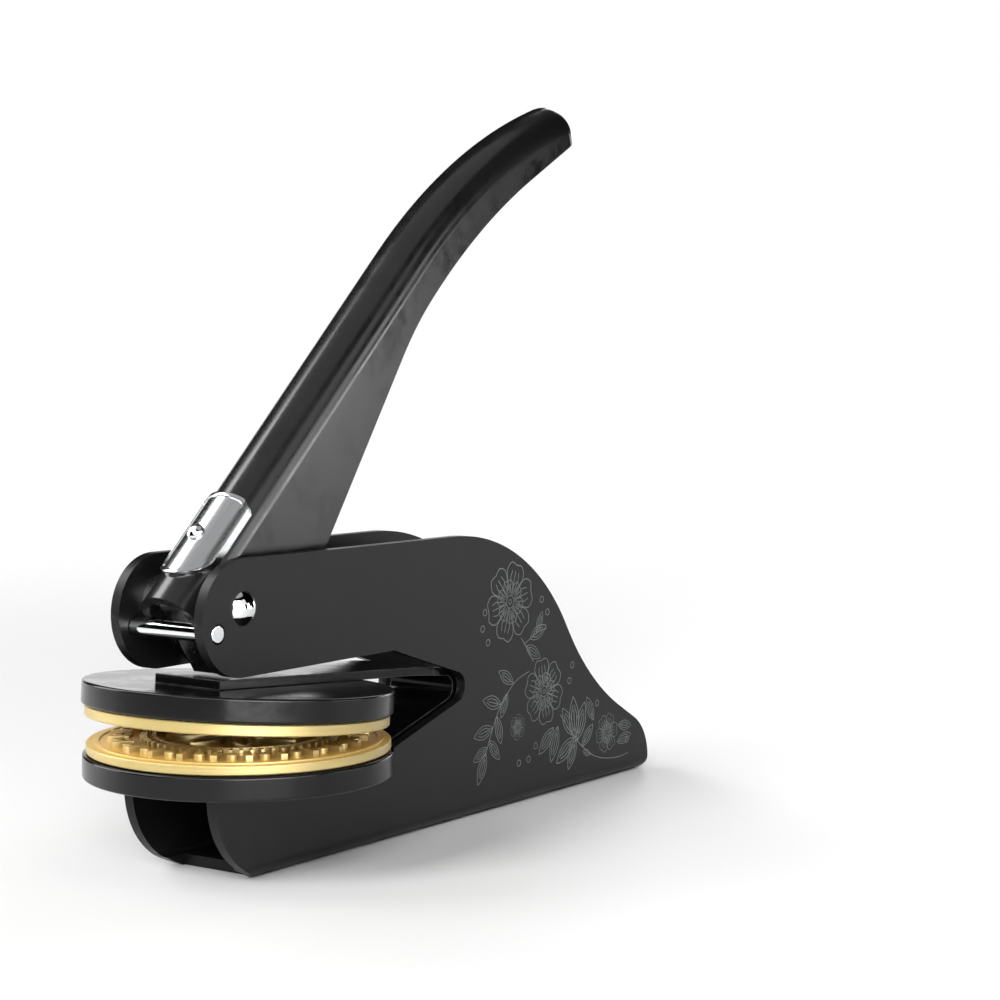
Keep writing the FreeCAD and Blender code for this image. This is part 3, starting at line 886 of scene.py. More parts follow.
@dataclass(frozen=True)
class Polished(Finish):
    """Bright metal with faint smears and hairlines."""

    smear: float = 0.08
    smear_mm: float = 2.2
    hair_share: float = 0.5
    hair_shade: float = 0.86
    hair_depth_mm: float = 0.0006

    def dress(self, coat: Coat) -> None:
        """Adds smears to the gloss.

        Args:
            coat: The material.
        """
        smears = coat.effect(Pattern.SMEARS, coat.place, Size=self.smear_mm)
        hairs = coat.math("MULTIPLY", smears["Hairlines"], self.hair_share)
        rough = coat.math("ADD", self.roughness, coat.math("MULTIPLY", smears["Clouds"], self.smear))
        coat.put(Metallic=1.0, Roughness=rough,
                 Base_Color=coat.blend(hairs, rgba(self.color), rgba(self.color, self.hair_shade)))
        coat.bump(smears["Hairlines"], self.hair_depth_mm)


class Grain(Enum):
    """Which way a metal surface was worked."""

    LINEAR = "linear"
    TURNED = "turned"


@dataclass(frozen=True)
class Brushed(Finish):
    """Metal with visible tool strokes, straight or turned round the upright axis of the dies."""

    grain: Grain = Grain.LINEAR
    pitch_mm: float = 0.12
    stroke_mm: float = 9.0
    depth_mm: float = 0.004
    metallic: float = 1.0
    contrast: float = 0.14
    tint: Color = (0.97, 0.92, 0.80)
    tilt_deg: float = 0.0
    tilt_about: tuple[float, float, float] = (0.0, 0.0, 0.0)
    stroke_deg: float = 0.0
    turn_length: float = 0.012

    def strokes_place(self, coat: Coat) -> bpy.types.NodeSocket:
        """Places the strokes: tilted with the piece, and turned or slanting.

        Args:
            coat: The material.

        Returns:
            The place that the strokes read.
        """
        place = coat.place
        if self.tilt_deg:
            about = Vector(self.tilt_about) * MM
            turn = math.radians(-self.tilt_deg)
            place = coat.add("ShaderNodeMapping", {
                "Vector": place, "Location": about - Matrix.Rotation(turn, 3, "Y") @ about,
                "Rotation": (0.0, turn, 0.0)})[0]
        if self.grain is Grain.TURNED:
            x, y, z = coat.add("ShaderNodeSeparateXYZ", {0: place})
            radius = coat.math("SQRT", coat.math("ADD", coat.math("MULTIPLY", x, x),
                                                 coat.math("MULTIPLY", y, y)))
            angle = coat.math("MULTIPLY", coat.math("ARCTAN2", y, x), self.turn_length)
            place = coat.add("ShaderNodeCombineXYZ", {0: angle, 1: radius, 2: z})[0]
        elif self.stroke_deg:
            place = coat.add("ShaderNodeMapping", {
                "Vector": place, "Rotation": (0.0, 0.0, math.radians(self.stroke_deg))})[0]
        return place

    def dress(self, coat: Coat) -> None:
        """Adds strokes to colour, gloss and height.

        Args:
            coat: The material.
        """
        work = coat.effect(Pattern.BRUSHING, self.strokes_place(coat), Pitch=self.pitch_mm,
                           Length=self.stroke_mm)
        spread = coat.ramp(work["Strokes"], 0.25, 0.75, 1.0 - self.contrast, 1.0)
        darker = rgba([c * (1.0 - self.contrast) * k for c, k in zip(self.color, self.tint)])
        share = coat.math("MULTIPLY", coat.ramp(work["Strokes"], 0.3, 0.7),
                          coat.ramp(work["Bands"], 0.0, 1.0, 0.6, 1.0))
        coat.put(Metallic=self.metallic, Base_Color=coat.blend(share, darker, rgba(self.color)),
                 Roughness=coat.math("DIVIDE", self.roughness, spread))
        coat.bump(work["Strokes"], self.depth_mm)


@dataclass(frozen=True)
class Finishes:
    """Every finish of the embosser."""

    body: Finish = Paint("black_powder", (0.0059, 0.0059, 0.0061), 0.36, grain_depth_mm=0.002, gloss=0.21)
    lever: Finish = Paint("black_lever_gloss", (0.0077, 0.0077, 0.0079), 0.19, grain_depth_mm=0.001,
                          gloss=0.64)
    holder: Finish = Paint("black_holder_gloss", (0.0035, 0.0035, 0.0037), 0.16, grain_depth_mm=0.0008,
                           edge_wear_and_highlight_share=0.25, gloss=0.27)
    strip: Finish = Paint("strip_black", (0.0026, 0.0026, 0.0028), 0.16, grain_depth_mm=0.001, gloss=0.2)
    chrome: Finish = Polished("bright_chrome", (0.82, 0.83, 0.84), 0.05)
    plate: Finish = Brushed("bright_plate", (0.80, 0.81, 0.82), 0.17, pitch_mm=0.16, depth_mm=0.0006,
                            contrast=0.10, tint=(1.0, 1.0, 1.0), tilt_deg=-43.1)
    steel: Finish = Polished("plain_steel", (0.55, 0.55, 0.54), 0.25)
    screw: Finish = Paint("blackened_screw", (0.02, 0.02, 0.021), 0.35, grain_depth_mm=0.002)
    pad: Finish = Paint("pad_grey", (0.018, 0.018, 0.018), 0.7)
    brass_face: Finish = Brushed("brass_brushed", (0.92, 0.63, 0.18), 0.34, metallic=0.45, stroke_deg=35.0)
    # The turned sides are the same brass as the faces, painted darker as shade that keeps their reflections
    # down.
    brass_side_shaded: Finish = Brushed("brass_turned_shaded", (0.53, 0.42, 0.175), 0.36, metallic=0.32,
                                 grain=Grain.TURNED, pitch_mm=0.10, depth_mm=0.003)
    brass_side_shaded_tilted: Finish = replace(brass_side_shaded, name="brass_turned_shaded_upper", tilt_deg=JAW_TILT,
                                        tilt_about=FLEX_AT)
    engraving: Finish = Paint("bare_engraving", (0.135, 0.145, 0.145), 0.5, patch=0.3)


FINISHES = Finishes()


# ---------------------------------------------------------------- sub-assemblies


def side_plane(y: float) -> Plane:
    """Plane seen from the near side, at a distance across."""
    return Plane(Vector((0.0, y, 0.0)), ALONG, UP)


def dress(finish: Finish, *nodes: str) -> None:
    """Gives carried-over nodes a finish.

    Args:
        finish: The finish.
        nodes: Names of the nodes.
    """
    for node in nodes:
        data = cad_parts[node].data
        data.materials.clear()
        data.materials.append(finish.material())
        log.info("%s: kept, finish %s", node, finish.name)


@dataclass
class FrameShell:
    """Folded sheet frame: two sides, a floor and a nose, in millimetres."""

    sheet: float = 1.5
    width: float = 16.0
    bend: float = 2.2
    floor_front: float = -4.5
    edge: float = 0.16
    pivot: tuple[float, float] = PIVOT
    stop: tuple[float, float] = STOP
    rivet_radius: float = 1.5
    stop_hole: float = 1.34
    stock_front: float = -20.0
    stock_rear: float = 97.0
    stock_top: float = 46.0
    gap_front: float = -15.0
    gap_over: float = 0.4
    clear: float = 1.0
    corners: tuple[Corner, ...] = (
        (-16.3, 27.2027, 7.75), (-16.3, 42.8027, 7.75), (57.6, 42.1027, 36.0), (75.5, 16.5, 44.0),
        (93.6, 6.7, 8.2), (93.6, 0.0, 1.5), (-4.9, 0.0, 0.4), (-14.0, 4.282, 12.0),
        (-14.0, 12.5, 0.4), (21.3, 12.5, 0.4), (41.3, 18.386, 2.0), (41.3, 21.786, 2.0),
        (24.1, 27.2027, 2.0))

    def trough(self, half_width: float, bottom: float, bend: float) -> Workpiece:
        """Long block with its two lower edges rounded.

        Args:
            half_width: Half of its width.
            bottom: Height of its underside.
            bend: Radius of the lower edges.

        Returns:
            The solid block.
        """
        piece = Workpiece.block("trough", (self.stock_front, -half_width, bottom),
                                (self.stock_rear, half_width, self.stock_top))
        piece.select(Element.EDGE, lambda e: middle(e).z < bottom + 0.01
                     and abs(e.verts[0].co.x - e.verts[1].co.x) > 1.0)
        piece.ease(bend, 8)
        return piece.heal()

    def build(self) -> None:
        """Folds, trims and drills the frame."""
        half = self.width / 2
        shell = slab("frame_shell", side_plane(half), self.corners, self.width)
        shell.combine(self.trough(half, 0.0, self.bend), Cut.COMMON)
        shell.combine(self.trough(half - self.sheet, self.sheet, self.bend - self.sheet))
        floor_half = half - self.bend
        shell.combine(Workpiece.block("gap", (self.gap_front, -floor_half, -self.clear),
                                      (self.floor_front, floor_half, self.sheet + self.gap_over)))
        reach = ACROSS * (half + self.clear)
        for (x, z), radius in ((self.pivot, self.rivet_radius), (self.stop, self.stop_hole)):
            centre = Vector((x, 0.0, z))
            shell.combine(Workpiece.rod("drill", centre - reach, centre + reach, radius))
        shell.round_edges(self.edge)
        shell.finish(FINISHES.body, "frame_body", "body_paint", ["frame"])


@dataclass
class FloralLines:
    """Fine line work of leaves, berries and rosettes on the near side, in millimetres.

    One leaf, one rosette and one berry are drawn on the flat, and copies of them are turned,
    scaled and set down on the side of the frame.
    """

    side: float = -8.0
    stroke: float = 0.13
    lift: float = 0.02
    leaf_length: float = 5.0
    rosette_radius: float = 5.0
    berry_radius: float = 0.5
    stems: tuple[tuple[tuple[float, float], ...], ...] = (
        ((87.4, 3.4), (83.0, 3.2), (77.0, 4.4), (71.4, 8.0), (67.0, 12.4)),
        ((59.4, 21.6), (57.8, 23.6), (56.0, 25.6)),
        ((58.2, 20.2), (54.4, 19.0), (50.6, 15.8), (48.4, 12.4), (46.8, 9.2)),
        ((57.0, 24.6), (60.4, 26.0), (63.0, 26.4)))
    rosettes: tuple[tuple[float, float, float, float], ...] = (
        (53.0, 31.4, 12.0, 1.22), (62.4, 16.6, 40.0, 1.06), (80.8, 7.6, 5.0, 0.64),
        (55.2, 12.0, 20.0, 0.4))
    leaves: tuple[tuple[float, float, float, float], ...] = (
        (54.0, 18.9, 150.0, 0.9), (52.4, 17.6, 245.0, 0.8), (50.8, 16.0, 165.0, 1.0),
        (49.6, 14.4, 285.0, 0.9), (48.6, 12.8, 190.0, 1.0), (47.6, 11.0, 310.0, 0.85),
        (46.8, 9.2, 245.0, 1.0), (47.2, 10.0, 205.0, 0.8), (58.4, 25.2, 20.0, 0.95),
        (60.2, 26.0, 62.0, 0.7), (57.4, 24.2, 330.0, 0.9), (71.4, 8.0, 96.0, 1.35),
        (72.0, 7.6, 70.0, 1.25), (70.6, 8.6, 122.0, 1.1), (71.0, 8.2, 215.0, 1.2),
        (71.6, 7.8, 244.0, 1.0), (73.4, 6.4, 45.0, 0.9), (76.0, 4.8, 160.0, 0.5),
        (66.4, 10.6, 250.0, 1.15), (65.2, 10.6, 222.0, 1.1), (84.0, 5.6, 12.0, 0.85),
        (84.2, 8.4, 352.0, 0.8), (76.8, 10.2, 118.0, 0.9))
    berries: tuple[tuple[float, float], ...] = (
        (46.4, 30.4), (45.8, 28.0), (47.2, 25.8), (61.6, 31.0), (63.2, 28.9), (69.6, 17.4), (70.4, 19.8),
        (60.2, 8.4), (58.2, 6.6), (55.6, 6.4), (77.8, 12.8), (87.0, 5.6))
    petal_edge: tuple[tuple[float, float], ...] = (
        (0.3, -0.7), (0.6, -1.0), (0.84, -0.9), (0.98, -0.45), (0.93, 0.0), (1.0, 0.45), (0.84, 0.9),
        (0.6, 1.0), (0.3, 0.7))

    def line(self, points: Sequence[Sequence[float]]) -> Workpiece:
        """Thin line through points on the flat.

        Args:
            points: Points (u, v).

        Returns:
            The line, as a solid.
        """
        pen = Pen("engraved_line", Plane(Vector(), ALONG, ACROSS), points[0])
        for point in points[1:]:
            pen.line(point)
        pen.piece.activate()
        bpy.ops.object.convert(target="CURVE")
        bpy.context.object.data.bevel_depth = self.stroke / 2
        bpy.context.object.data.bevel_resolution = 0
        bpy.ops.object.convert(target="MESH")
        return pen.piece

    @staticmethod
    def smooth(points: Sequence[Sequence[float]], steps: int = 4) -> list[tuple[float, float]]:
        """Points of a smooth curve through points.

        Args:
            points: Points (u, v).
            steps: Runs between two points.

        Returns:
            The points of the curve.
        """
        curve, last = [], len(points) - 1
        for i in range(last):
            a, b, c, d = (Vector(points[min(max(k, 0), last)]) for k in range(i - 1, i + 3))
            for t in (k / steps for k in range(steps)):
                curve.append((b + (c - a) * t / 2 + (a * 2 - b * 5 + c * 4 - d) * t ** 2 / 2
                              + (b * 3 - a - c * 3 + d) * t ** 3 / 2)[:])
        return curve + [tuple(points[-1])]

    def leaf(self) -> Workpiece:
        """Draws a leaf with an inner line and a midrib, along +U.

        Returns:
            The leaf.
        """
        sides = (1, -1)
        lines = [self.line(self.smooth([(0.0, 0.0), (1.1, s * 0.72), (2.7, s * 1.02), (4.2, s * 0.52),
                                        (self.leaf_length, 0.0)], 2)) for s in sides]
        lines += [self.line([(0.9, s * 0.16), (1.8, s * 0.5), (2.9, s * 0.55), (4.0, s * 0.14)])
                  for s in sides]
        return self.line([(0.0, 0.0), (3.5, 0.0)]).join(lines)

    def petals(self, reach: float, spread_deg: float) -> Workpiece:
        """Draws a row of six petals with their veins round the centre.

        Args:
            reach: Radius of the row.
            spread_deg: Half of the angle that a petal takes.

        Returns:
            The row.
        """
        def at(share: float, side: float) -> tuple[float, float]:
            """Point of the first petal."""
            turn = math.radians(side * spread_deg)
            return reach * share * math.cos(turn), reach * share * math.sin(turn)

        petal = self.line(self.smooth([at(*point) for point in self.petal_edge], 2))
        veins = [self.line([at(0.4, side * 0.5), at(0.62, side * 0.55), at(0.78, side * 0.35)])
                 for side in (-1, 0, 1)]
        return petal.join(veins).ring(6)

    def circle(self, radius: float, sides: int) -> Workpiece:
        """Draws a circle round the centre."""
        turns = [2 * math.pi * i / sides for i in range(sides + 1)]
        return self.line([(radius * math.cos(t), radius * math.sin(t)) for t in turns])

    def rosette(self) -> Workpiece:
        """Draws a flower of two rows of petals round a ringed centre.

        Returns:
            The flower.
        """
        inner = self.petals(self.rosette_radius * 0.56, 28.0).set_down(
            Matrix.Rotation(math.radians(30.0), 4, "Z"))
        outer = self.petals(self.rosette_radius, 29.0)
        return outer.join([inner, self.circle(0.8, 16), self.circle(0.3, 8)])

    def spread(self, shape: Workpiece, places: Iterable[Sequence[float]]) -> list[Workpiece]:
        """Sets copies of a shape down on the side, and takes the first one away.

        Args:
            shape: Shape drawn on the flat round its centre.
            places: Places (u, v, turn in degrees, scale).

        Returns:
            The copies.
        """
        upright = Matrix.Translation((0.0, self.side, 0.0)) @ Matrix.Rotation(math.radians(90.0), 4, "X")
        copies = [shape.copy(f"{shape.obj.name}_{i}").set_down(
            upright @ Matrix.Translation((u, v, 0.0)) @ Matrix.Rotation(math.radians(turn), 4, "Z")
            @ Matrix.Scale(scale, 4)) for i, (u, v, turn, scale) in enumerate(places)]
        bpy.data.objects.remove(shape.obj)
        return copies

    def build(self) -> None:
        """Draws the whole work."""
        work = []
        for stem in self.stems:
            work += self.spread(self.line(self.smooth(stem)), [(0.0, 0.0, 0.0, 1.0)])
        work += self.spread(self.rosette(), self.rosettes)
        work += self.spread(self.leaf(), self.leaves)
        work += self.spread(self.circle(self.berry_radius, 8), [(u, v, 0.0, 1.0) for u, v in self.berries])
        whole = work[0].join(work[1:])
        whole.obj.name = "plate_floral_lines"
        whole.select(Element.VERT)
        whole.stretch((1.0, 2 * self.lift / self.stroke, 1.0), Vector((0.0, self.side, 0.0)))
        whole.finish(FINISHES.engraving, "frame_body", "body_paint")


@dataclass
class PivotSet:
    """Rivet, stop pin, sleeve and spacers in the nose, in millimetres."""

    pivot: tuple[float, float] = PIVOT
    stop: tuple[float, float] = STOP
    half_width: float = 8.0
    shank: float = 1.5
    shank_edge: float = 0.1
    head_radius: float = 2.3
    head_height: float = 1.25
    head_sink: float = 0.02
    stop_radius: float = 1.2
    stop_edge: float = 0.18

    def head(self, base: Vector, side: int) -> Workpiece:
        """Domed head of the rivet.

        Args:
            base: Middle of its flat.
            side: 1 on the far side, -1 on the near one.

        Returns:
            The solid head.
        """
        ball = (self.head_radius ** 2 + self.head_height ** 2) / (2 * self.head_height)
        pen = Pen("rivet_head", Plane(base, ALONG, ACROSS * side), (0.0, self.head_height))
        sweep = math.degrees(math.asin(self.head_radius / ball))
        pen.arc((0.0, self.head_height - ball), -sweep, chord=0.12)
        pen.line((self.head_radius, -self.head_sink)).line((0.0, -self.head_sink))
        return pen.piece.revolve(base, ACROSS, 64)

    def build(self) -> None:
        """Makes the rivet and the stop pin, and dresses the pieces behind them."""
        x, z = self.pivot
        heads = [self.head(Vector((x, side * self.half_width, z)), side) for side in (-1, 1)]
        rivet = puck("pivot_rivet_bright", Vector((x, -self.half_width, z)), ACROSS, self.shank,
                     2 * self.half_width, self.shank_edge).join(heads)
        rivet.finish(FINISHES.chrome, "frame_body", "chrome", ["pivot_rivet"])
        x, z = self.stop
        pin = puck("stop_pin_bright", Vector((x, -self.half_width, z)), ACROSS, self.stop_radius,
                   2 * self.half_width, self.stop_edge)
        pin.finish(FINISHES.chrome, "frame_body", "chrome", ["stop_pin"])
        dress(FINISHES.steel, "pivot_sleeve", "lever_spacer_near", "lever_spacer_far")


@dataclass
class HandLever:
    """Pressed lever with a half-round front, in millimetres and in its own axes."""

    pivot: tuple[float, float] = PIVOT
    stop: tuple[float, float] = STOP
    rest_deg: float = 43.1
    travel_deg: float = 40.0
    width: float = 9.0
    sheet: float = 1.2
    front: float = 6.75
    mouth: float = -4.8
    straight: float = 63.0
    curve_radius: float = 103.0
    curve_deg: float = 25.2
    curve_steps: int = 36
    tip_steps: int = 12
    tip_least: float = 0.02
    rear_flat: float = 0.9
    rear_radius: float = 112.0
    rear_deg: float = 15.3
    tip_lean_deg: float = 60.0
    tip_corner: float = 6.0
    tip_clear: float = 15.0
    depth: float = 8.5
    taper_deg: float = 12.7
    taper_end: float = 56.2
    taper_radius: float = 52.0
    taper_start: float = 12.0
    lug_back: float = 7.6
    lug_radius: float = 3.0
    lug_corner: float = 1.5
    boss: float = 4.2
    sleeve_bore: float = 2.25
    stop_bore: float = 1.5
    rim: float = 0.3
    hinge_gap: float = 0.001

    @property
    def place(self) -> Matrix:
        """Turn and shift from the lever's own axes to its rest place."""
        x, z = self.pivot
        return Matrix.Translation((x, 0.0, z)) @ Matrix.Rotation(math.radians(-self.rest_deg), 4, "Y")

    def bar(self, inset: float) -> Workpiece:
        """Round-fronted solid bar along the lever, straight and then curved, with a domed tip.

        Args:
            inset: Distance that it is smaller by, all round.

        Returns:
            The solid bar.
        """
        radius = self.width / 2 - inset
        centre = self.front - self.width / 2
        start = self.mouth - inset
        low = centre - radius - 2 * self.curve_radius * math.sin(math.radians(self.curve_deg) / 2)
        pen = Pen("lever_bar", Plane(Vector((start, 0.0, 0.0)), ACROSS, UP), (radius, low))
        pen.line((radius, centre)).arc((0.0, centre), 180.0, chord=0.35).line((-radius, low))
        pen.line((radius, low))
        piece = pen.close()
        piece.extrude(ALONG * (self.straight - start)).extrude(ALONG * self.hinge_gap)
        self.dome(piece, radius, Vector((self.straight, 0.0, centre)))
        turn_centre = Vector((self.straight, 0.0, self.front - self.curve_radius))
        piece.heal()
        piece.select(Element.VERT, lambda v: v.co.x > self.straight + self.hinge_gap / 2)
        bpy.ops.transform.rotate(value=-math.radians(self.curve_deg), orient_axis="Y",
                                 center_override=tuple(turn_centre))
        self.bend(piece, turn_centre)
        return piece.heal(2 * self.hinge_gap)

    def dome(self, piece: Workpiece, radius: float, end: Vector) -> None:
        """Extrudes the end of the bar in shrinking steps, to a round tip.

        Args:
            piece: The bar, with its end face selected.
            radius: Radius of its front.
            end: Middle of the round front at the end.
        """
        previous, last_share = 0.0, 1.0
        for i in range(1, self.tip_steps + 1):
            swing = math.pi / 2 * i / self.tip_steps
            way, share = radius * math.sin(swing), max(math.cos(swing), self.tip_least)
            piece.extrude(ALONG * (way - previous))
            factor = share / last_share
            piece.stretch((1.0, factor, 1.0), end)
            tip_x = self.straight + self.hinge_gap + way
            piece.select(Element.VERT, lambda v: abs(v.co.x - tip_x) < NEAR and v.co.z > end.z + 1e-3)
            piece.stretch((1.0, 1.0, factor), end)
            piece.select(Element.FACE, lambda f: all(abs(v.co.x - tip_x) < NEAR for v in f.verts))
            previous, last_share = way, share

    def bend(self, piece: Workpiece, turn_centre: Vector) -> None:
        """Replaces the wedge between the straight run and the turned tip by an even curve.

        Args:
            piece: The bar, with its tip already turned.
            turn_centre: Centre of the curve.
        """
        def in_wedge(face: bmesh.types.BMFace) -> bool:
            """Says whether a face spans the wedge.

            Args:
                face: The face.

            Returns:
                Whether it has corners on both of its sides.
            """
            arms = [v.co - turn_centre for v in face.verts]
            return len({arm.x > NEAR and math.degrees(math.atan2(arm.x, arm.z)) > self.curve_deg - 0.01
                        for arm in arms}) == 2

        piece.select(Element.FACE, in_wedge)
        bpy.ops.mesh.delete(type="ONLY_FACE")
        piece.select(Element.EDGE, lambda e: not e.link_faces)
        bpy.ops.mesh.delete(type="EDGE")
        piece.select(Element.EDGE, lambda e: all(abs(v.co.x - self.straight) < NEAR for v in e.verts))
        piece.spin(turn_centre, ACROSS, self.curve_deg, self.curve_steps)

    @staticmethod
    def crossing(first: Vector, first_deg: float, second: Vector, second_deg: float) -> Vector:
        """Point where two lines meet, their angles below the lever's axis.

        Args:
            first: A point of the first line.
            first_deg: Its angle.
            second: A point of the second line.
            second_deg: Its angle.

        Returns:
            The crossing point (s, n).
        """
        a, b = math.radians(first_deg), math.radians(second_deg)
        ahead = Vector((math.cos(a), -math.sin(a)))
        across = Vector((math.sin(b), math.cos(b)))
        return first + ahead * ((second - first).dot(across) / ahead.dot(across))

    def corners(self) -> list[Corner]:
        """Side outline of the lever, with the pivot at 0, 0.

        Returns:
            Corners (s, n, radius).
        """
        above_front = self.front + self.sheet
        lug_low = -self.lug_back - self.lug_radius
        rear_n = self.front - self.depth
        fall = (self.taper_end - self.taper_start) * math.tan(math.radians(self.taper_deg))
        taper_reach = self.taper_radius * math.tan(math.radians(self.taper_deg) / 2)
        rear_reach = self.rear_radius * math.tan(math.radians(self.rear_deg) / 2)
        rear = Vector((self.taper_end + taper_reach + self.rear_flat + rear_reach, rear_n))
        centre = Vector((self.straight, self.front - self.curve_radius))
        arm = Vector((self.width / 2, self.curve_radius - self.width / 2))
        tip = centre + swung(arm, -self.curve_deg)
        end_deg = self.curve_deg + 90.0 + self.tip_lean_deg
        end = math.radians(end_deg)
        out = tip - Vector((math.cos(end), -math.sin(end))) * self.tip_clear
        low = self.crossing(rear, self.rear_deg, tip, end_deg)
        return [
            (self.mouth, above_front, 0.0), (out.x, above_front, 0.0), (out.x, out.y, 0.0),
            (low.x, low.y, self.tip_corner),
            (rear.x, rear.y, self.rear_radius), (self.taper_end, rear_n, self.taper_radius),
            (self.taper_start, rear_n - fall, self.lug_radius),
            (self.lug_radius, lug_low, self.lug_corner),
            (-self.lug_radius, lug_low, self.lug_radius - self.lug_corner),
            (-self.boss, -self.boss / 2, self.lug_corner), (self.mouth, 0.0, 0.0)]

    def stop_path(self) -> Workpiece:
        """Path of the stop pin through the turning lever, in the lever's own axes.

        Returns:
            The solid path.
        """
        pin = swung(Vector((self.stop[0] - self.pivot[0], self.stop[1] - self.pivot[1])), -self.rest_deg)
        reach, ahead = pin.length, pin.normalized()
        plane = side_plane(self.width)
        pen = Pen("stop_path", plane, ahead * (reach + self.stop_bore))
        pen.arc((0.0, 0.0), self.travel_deg, chord=0.3)
        pen.arc(swung(ahead, self.travel_deg) * reach, 180.0, chord=0.3)
        pen.arc((0.0, 0.0), -self.travel_deg, chord=0.3)
        pen.arc(pin, 180.0, chord=0.3)
        return pen.close().extrude(plane.normal * 2 * self.width).heal()

    def build(self) -> None:
        """Presses, trims and drills the lever."""
        shell = self.bar(0.0).combine(self.bar(self.sheet))
        trim = slab("lever_outline", side_plane(self.width / 2 + 0.5), self.corners(), self.width + 1.0)
        shell.combine(trim, Cut.COMMON)
        shell.combine(Workpiece.rod("bore", ACROSS * -self.width, ACROSS * self.width, self.sleeve_bore))
        shell.combine(self.stop_path())
        shell.obj.name = "lever_shell"
        shell.round_edges(self.rim, segments=3)
        shell.finish(FINISHES.lever, "hand_lever", "lever_paint", ["lever"], self.place)


@dataclass
class Nameplate:
    """Bare bright plate wrapped round the lever, with a raised rim and a rivet, in millimetres."""

    lever: HandLever
    start: float = -0.8
    length: float = 14.4
    thickness: float = 0.6
    wrap_deg: float = 52.0
    corner: float = 1.2
    rim_width: float = 0.55
    rim_height: float = 0.16
    edge: float = 0.07
    rivet_at: float = 6.3
    rivet_radius: float = 1.2
    rivet_height: float = 0.7
    rivet_shank: float = 0.68
    rivet_reach: float = 2.3
    rivet_sink: float = 0.02
    rivet_edge: float = 0.1
    rivet_shoulder: float = 0.25
    rivet_flat: float = 0.55
    shoulder_radius: float = 0.45
    crown_radius: float = 0.5

    @property
    def middle_n(self) -> float:
        """Height of the axis of the lever's round front."""
        return self.lever.front - self.lever.width / 2

    def tube(self, inner: float, outer: float) -> Workpiece:
        """Tube round the front of the lever, between two radii."""
        return turned("plate_tube", Vector((self.start - 0.5, 0.0, self.middle_n)), ALONG, [
            (inner, 0.0, 0.0), (outer, 0.0, 0.0), (outer, self.length + 1.0, 0.0),
            (inner, self.length + 1.0, 0.0)], steps=160)

    def blank(self, inset: float) -> Workpiece:
        """Outline of the plate seen from the front, as a tall solid.

        Args:
            inset: Distance that the outline is smaller by.

        Returns:
            The solid.
        """
        half = (self.lever.width / 2 + self.thickness) * math.sin(math.radians(self.wrap_deg)) - inset
        first, last = self.start + inset, self.start + self.length - inset
        corner = max(self.corner - inset * 0.5, 0.3)
        plane = Plane(Vector((0.0, 0.0, self.middle_n)), ALONG, ACROSS)
        return slab("plate_blank", plane, [
            (first, -half, half * 0.999), (last, -half, corner), (last, half, corner),
            (first, half, half * 0.999)], self.lever.width, chord=0.25)

    def build(self) -> None:
        """Cuts the plate, sinks its field and sets its rivet."""
        inner = self.lever.width / 2
        outer = inner + self.thickness
        plate = self.tube(inner, outer).combine(self.blank(0.0), Cut.COMMON)
        plate.combine(self.tube(outer - self.rim_height, outer + 1.0)
                      .combine(self.blank(self.rim_width), Cut.COMMON))
        plate.obj.name = "nameplate_rimmed"
        plate.round_edges(self.edge, angle_deg=30.0)
        plate.finish(FINISHES.plate, "hand_lever", "chrome", ["nameplate"], self.lever.place)
        base = Vector((self.rivet_at, 0.0, self.lever.front + self.thickness))
        seat = -self.rim_height - self.rivet_sink
        rivet = turned("nameplate_rivet_domed", base, UP, [
            (0.0, -self.rivet_reach, 0.0), (self.rivet_shank, -self.rivet_reach, self.rivet_edge),
            (self.rivet_shank, seat, 0.0), (self.rivet_radius, seat, self.rivet_edge),
            (self.rivet_radius, self.rivet_shoulder, self.shoulder_radius),
            (self.rivet_flat, self.rivet_height, self.crown_radius),
            (0.0, self.rivet_height, 0.0)], steps=48, chord=0.08)
        rivet.finish(FINISHES.chrome, "hand_lever", "chrome", ["nameplate_rivet"], self.lever.place)
        dress(FINISHES.steel, "press_cam", "cam_pin")


